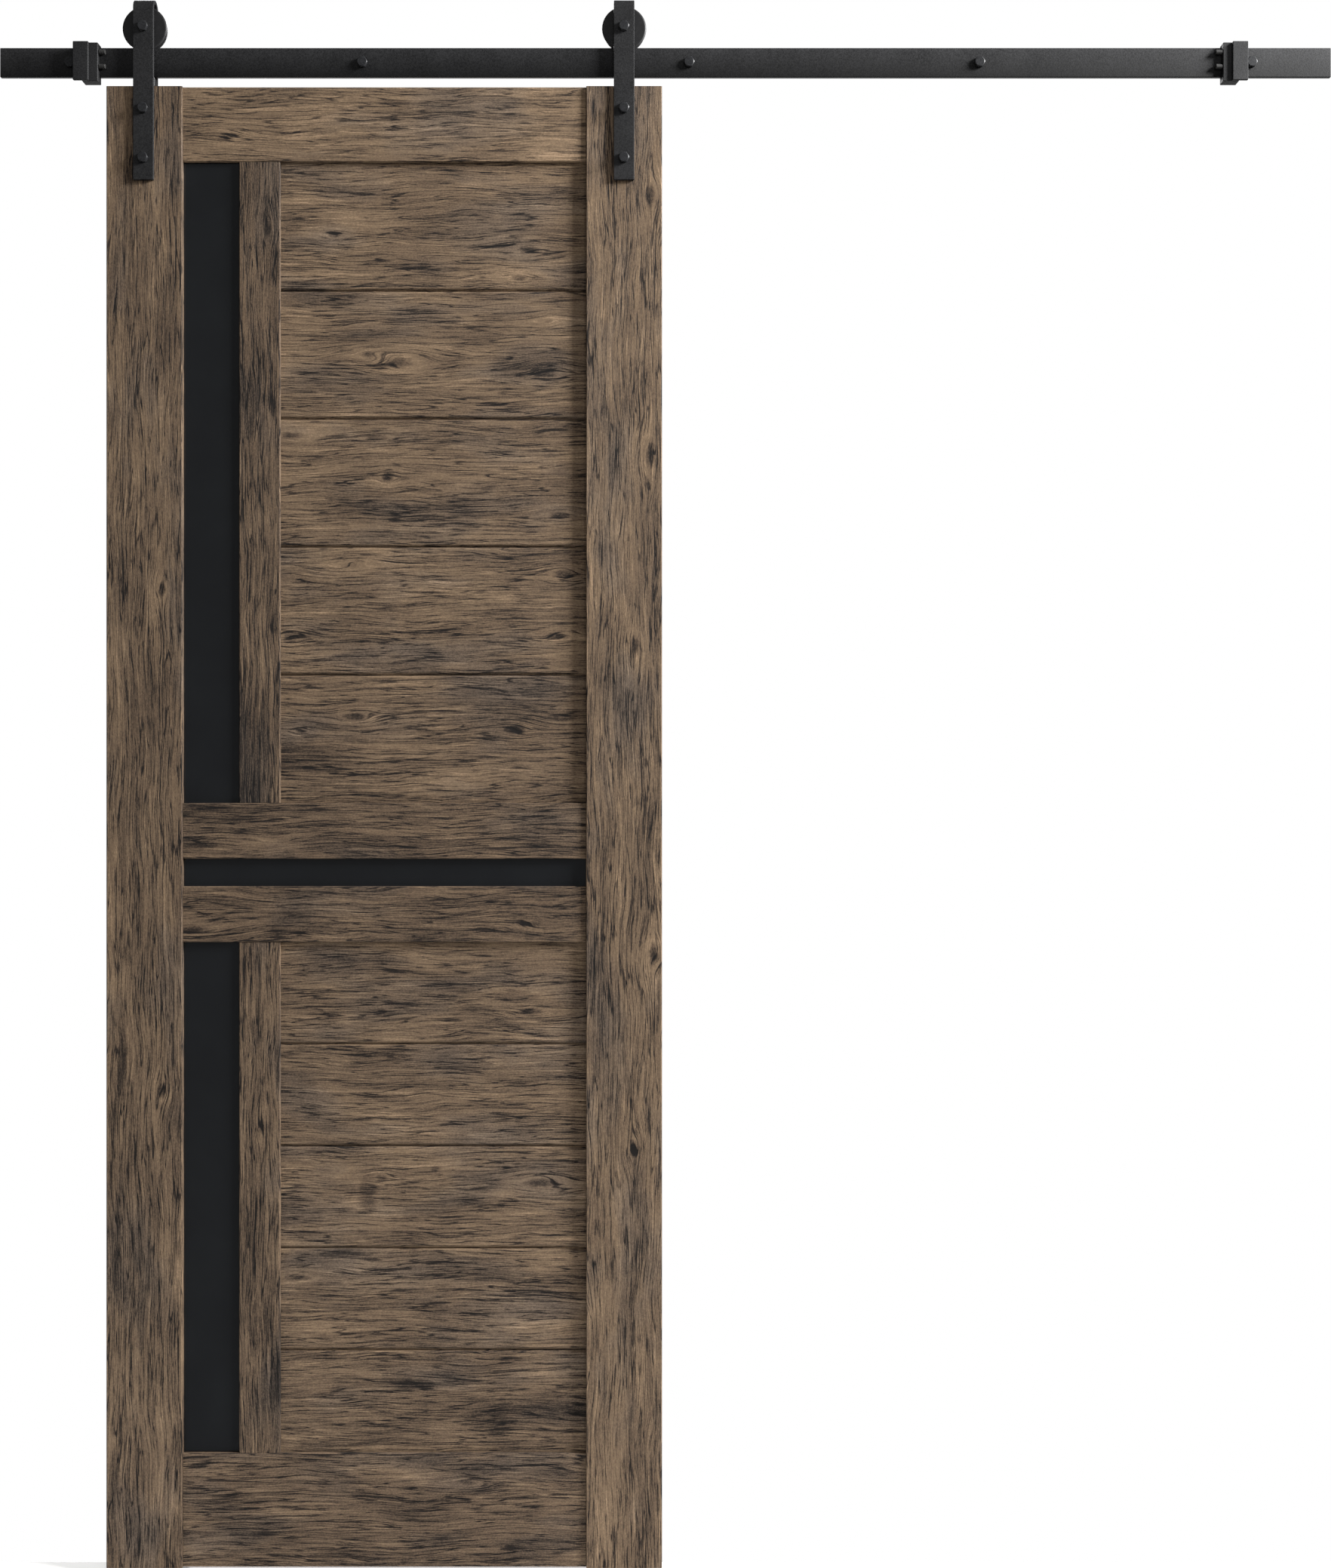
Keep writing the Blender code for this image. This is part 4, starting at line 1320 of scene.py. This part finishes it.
@dataclass
class Leaf(Assembly):
    """The door leaf: oak boards and black glass."""

    seed_step: float = 7.0
    oak_specular: float = 0.3
    panes: tuple[str, ...] = ("upper_glass", "middle_glass", "lower_glass")
    boards: tuple[Board, ...] = (
        Board("left_stile", Grain.UPRIGHT, 1.7, -0.06, (
            Knot(690, 76, 20, 11), Knot(690, 22, 90, 12, 0.5, 0.6), Knot(830, 70, 120, 40, 0.3, 1.5),
            Knot(1378, 76, 20, 11), Knot(1355, 22, 90, 12, 0.5, 0.6), Knot(1900, 12, 60, 12, 0.5, 0.6),
        )),
        Board("right_stile", Grain.UPRIGHT, 13.3, 0.0, (
            Knot(150, 88, 30, 14), Knot(505, 88, 34, 14, 0.9), Knot(420, 70, 60, 40, 0.25, 1.0),
            Knot(770, 66, 32, 12), Knot(1190, 92, 34, 14), Knot(1458, 66, 30, 12),
        )),
        Board("top_rail", Grain.LEVEL, 4.1, 0.08, (
            Knot(72, 68, 26, 9, 0.9), Knot(300, 22, 40, 8, 0.5, 0.4), Knot(240, 64, 70, 20, 0.3, 1.0),
        )),
        Board("upper_mid_rail", Grain.LEVEL, 21.9, -0.14, (Knot(36, 58, 40, 10, 0.6, 0.3),)),
        Board("lower_mid_rail", Grain.LEVEL, 33.7, -0.12, (
            Knot(20, 60, 44, 10, 0.7, 0.3), Knot(485, 52, 30, 9, 0.6),
        )),
        Board("bottom_rail", Grain.LEVEL, 8.9, -0.1, (
            Knot(120, 110, 34, 9, 0.5, 0.3), Knot(400, 40, 26, 8, 0.4),
        )),
        Board("upper_mullion", Grain.UPRIGHT, 27.1, -0.12, (
            Knot(100, 40, 26, 10, 0.9), Knot(345, 46, 30, 10, 0.7, 0.3), Knot(320, 20, 110, 40, 0.3, 1.0),
        )),
        Board("lower_mullion", Grain.UPRIGHT, 39.3, -0.1, (
            Knot(260, 30, 30, 9, 0.6), Knot(560, 20, 40, 10, 0.5, 0.4),
        )),
        Board("upper_plank_1", Grain.LEVEL, 2.3, 0.02, (
            Knot(350, 128, 34, 13, 0.9), Knot(336, 166, 20, 9, 0.8), Knot(82, 106, 22, 9, 0.8),
            Knot(228, 70, 130, 30, 0.3, 1.0), Knot(392, 118, 60, 26, 0.35, 0.8),
        )),
        Board("upper_plank_2", Grain.LEVEL, 6.1, 0.02, (
            Knot(172, 103, 44, 17), Knot(128, 92, 20, 8, 0.7), Knot(225, 104, 90, 26, 0.5, 0.6),
            Knot(374, 118, 34, 15, 0.8), Knot(352, 104, 80, 40, 0.4, 1.0), Knot(60, 12, 90, 24, 0.4, 0.8),
            Knot(372, 46, 24, 8, 0.7),
        )),
        Board("upper_plank_3", Grain.LEVEL, 9.7, 0.0, (
            Knot(155, 86, 16, 11), Knot(138, 30, 34, 8, 0.8), Knot(390, 138, 30, 10, 0.9),
            Knot(22, 28, 40, 9, 0.7), Knot(180, 128, 150, 34, 0.35, 1.0),
        )),
        Board("upper_plank_4", Grain.LEVEL, 12.5, 0.02, (
            Knot(398, 42, 30, 12, 0.8), Knot(388, 128, 34, 10, 0.8), Knot(20, 128, 24, 14, 0.8),
            Knot(320, 24, 150, 26, 0.3, 1.0), Knot(100, 30, 40, 8, 0.4),
        )),
        Board("upper_plank_5", Grain.LEVEL, 15.9, -0.02, (
            Knot(110, 62, 30, 10), Knot(36, 82, 16, 7, 0.8), Knot(330, 80, 30, 14),
            Knot(340, 56, 110, 24, 0.4, 0.8), Knot(40, 122, 110, 34, 0.6, 0.8),
            Knot(390, 64, 40, 10, 0.7, 0.3),
        )),
        Board("lower_plank_1", Grain.LEVEL, 19.3, 0.0, (
            Knot(330, 84, 60, 14, 0.6, 0.5), Knot(120, 40, 110, 26, 0.3, 1.0), Knot(350, 104, 40, 9, 0.8),
        )),
        Board("lower_plank_2", Grain.LEVEL, 23.9, 0.0, (
            Knot(168, 16, 60, 16, 0.6, 0.3), Knot(120, 20, 50, 12, 0.6, 0.4), Knot(340, 60, 44, 9, 0.5, 0.3),
        )),
        Board("lower_plank_3", Grain.LEVEL, 28.3, 0.0, (
            Knot(362, 56, 40, 13, 0.8), Knot(128, 70, 22, 44, 0.5, 0.4), Knot(146, 50, 16, 9, 0.7),
        )),
        Board("lower_plank_4", Grain.LEVEL, 31.7, -0.01, (
            Knot(100, 14, 60, 14, 0.5, 0.4), Knot(250, 90, 100, 22, 0.35, 1.0), Knot(30, 46, 40, 9, 0.6),
        )),
        Board("lower_plank_5", Grain.LEVEL, 36.1, -0.04, (
            Knot(330, 90, 150, 34, 0.6, 1.0), Knot(180, 50, 60, 14, 0.5, 0.6), Knot(60, 14, 60, 10, 0.5, 0.4),
        )),
    )

    def build(self) -> None:
        """Dress each board with its own cut of oak, and each pane with glass."""
        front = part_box("left_stile")[0].y
        for board in self.boards:
            low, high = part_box(board.node)
            oak = RusticOak(
                f"rustic_oak_{board.node}",
                "rustic_oak",
                "#6f5f4f",
                0.68,
                specular=self.oak_specular,
                grain=board.grain,
                corner=(low.x, front, high.z),
                seed=board.seed * self.seed_step,
                shade=board.shade,
                knots=board.knots,
            )
            self.dress_node(board.node, oak)
        for pane in self.panes:
            self.dress_node(pane, self.palette.glass)


# Studio


@dataclass(frozen=True)
class PaleFloor(Finish):
    """Sealed white screed: matt, and very slightly cloudy."""

    cloud_mm: float = 400.0

    def detail(self, tree: Tree, shader: Shader) -> None:
        """Cloud the screed."""
        self.vary(tree, shader, self.speckle(tree, self.cloud_mm, 3.0), "#efeeec", "#f8f8f7")


@dataclass(frozen=True)
class SoftLight:
    """One area light: its place and what it faces, its sides in metres and its power in watts."""

    name: str
    place: Point3
    target: Point3
    sides: Point2
    power: float
    diffuse: bool = True
    glossy: bool = True

    def hang(self) -> None:
        """Put the light in the scene."""
        data = bpy.data.lights.new(self.name, "AREA")
        data.shape = "RECTANGLE"
        data.size, data.size_y = self.sides
        data.energy = self.power
        lamp = bpy.data.objects.new(self.name, data)
        lamp.location = self.place
        way = Vector(self.target) - Vector(self.place)
        lamp.rotation_euler = way.to_track_quat("-Z", "Y").to_euler()
        lamp.visible_diffuse = self.diffuse
        lamp.visible_glossy = self.glossy
        bpy.context.scene.collection.objects.link(lamp)


@dataclass
class Studio:
    """A white studio: a pale floor, soft lights and the camera."""

    camera_place: Point3 = (0.0, -2.64425, -0.9914)
    lens_mm: float = 43.54
    sensor_mm: float = 36.0
    world_light: float = 0.14
    floor_gap: float = 10.0 * MM
    floor_half: Point2 = (1.5, 0.6)
    floor_cells: int = 8
    lights: tuple[SoftLight, ...] = (
        SoftLight("key_light", (3.2, -1.2, 1.2), (-0.2, 0.0, -0.8), (1.1, 1.1), 400.0),
        SoftLight("front_light", (0.9, -4.2, 1.0), (-0.2, 0.0, -1.0), (2.4, 2.4), 44.0, glossy=False),
        SoftLight("back_light", (-1.8, 2.6, 1.4), (-0.2, 0.0, -0.8), (2.0, 2.0), 190.0),
        # what a white wall behind the rail would show in the undersides of the steel
        SoftLight("wall_light", (0.0, 1.2, -0.45), (0.0, 0.0, 0.0), (3.0, 0.35), 4.5, diffuse=False),
    )

    def build(self) -> None:
        """Set the studio up."""
        self.make_world()
        self.make_floor()
        for light in self.lights:
            light.hang()
        self.make_camera()

    def make_world(self) -> None:
        """Make a backdrop that is plain white to look at and softer as a light."""
        world = bpy.data.worlds.new("white_studio")
        world.use_nodes = True
        tree = world.node_tree
        tree.nodes.clear()
        rays = add_node(tree, "LightPath", out="Is Camera Ray")
        strength = add_node(
            tree, "MapRange", {"Value": rays, "To Min": self.world_light, "To Max": 1.0}
        )
        white = add_node(tree, "Background", {"Color": (1, 1, 1, 1), "Strength": strength})
        add_node(tree, "OutputWorld", {"Surface": white}, out=None)
        bpy.context.scene.world = world
        bpy.context.scene.view_settings.view_transform = "Standard"

    def make_floor(self) -> None:
        """Lay the floor under the leaf, as far as the wall."""
        form = bmesh.new()
        bmesh.ops.create_grid(form, x_segments=self.floor_cells, y_segments=self.floor_cells, size=1.0)
        bmesh.ops.scale(form, vec=(*self.floor_half, 1.0), verts=form.verts)
        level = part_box("bottom_rail")[0].z - self.floor_gap
        floor = finish_mesh("studio_floor", form, Matrix.Translation((0.0, -self.floor_half[1], level)))
        floor.data.materials.append(PaleFloor("pale_floor", "", "#f4f3f1", 0.8).build())
        floor.visible_glossy = False  # the glass would show where it ends

    def make_camera(self) -> None:
        """Set the camera square to the wall."""
        data = bpy.data.cameras.new("camera")
        data.lens = self.lens_mm
        data.sensor_width = self.sensor_mm
        camera = bpy.data.objects.new("camera", data)
        camera.location = self.camera_place
        camera.rotation_euler = (math.radians(90), 0, 0)
        bpy.context.scene.collection.objects.link(camera)
        bpy.context.scene.camera = camera


def main() -> None:
    """Load the frame, build the pieces round it and set the studio up."""
    logging.basicConfig(level=logging.INFO, format="%(name)s: %(message)s")
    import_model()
    axles = [centre(f"{side}_wheel", 0.0) for side in SIDES]
    palette = Palette(tuple((axle.x, axle.z) for axle in axles))
    Track(palette).build()
    for side in SIDES:
        EndStop(palette, side).build()
        Hanger(palette, side).build()
        RollingSet(palette, side).build()
    Leaf(palette).build()
    Studio().build()


if __name__ == "__main__":
    main()
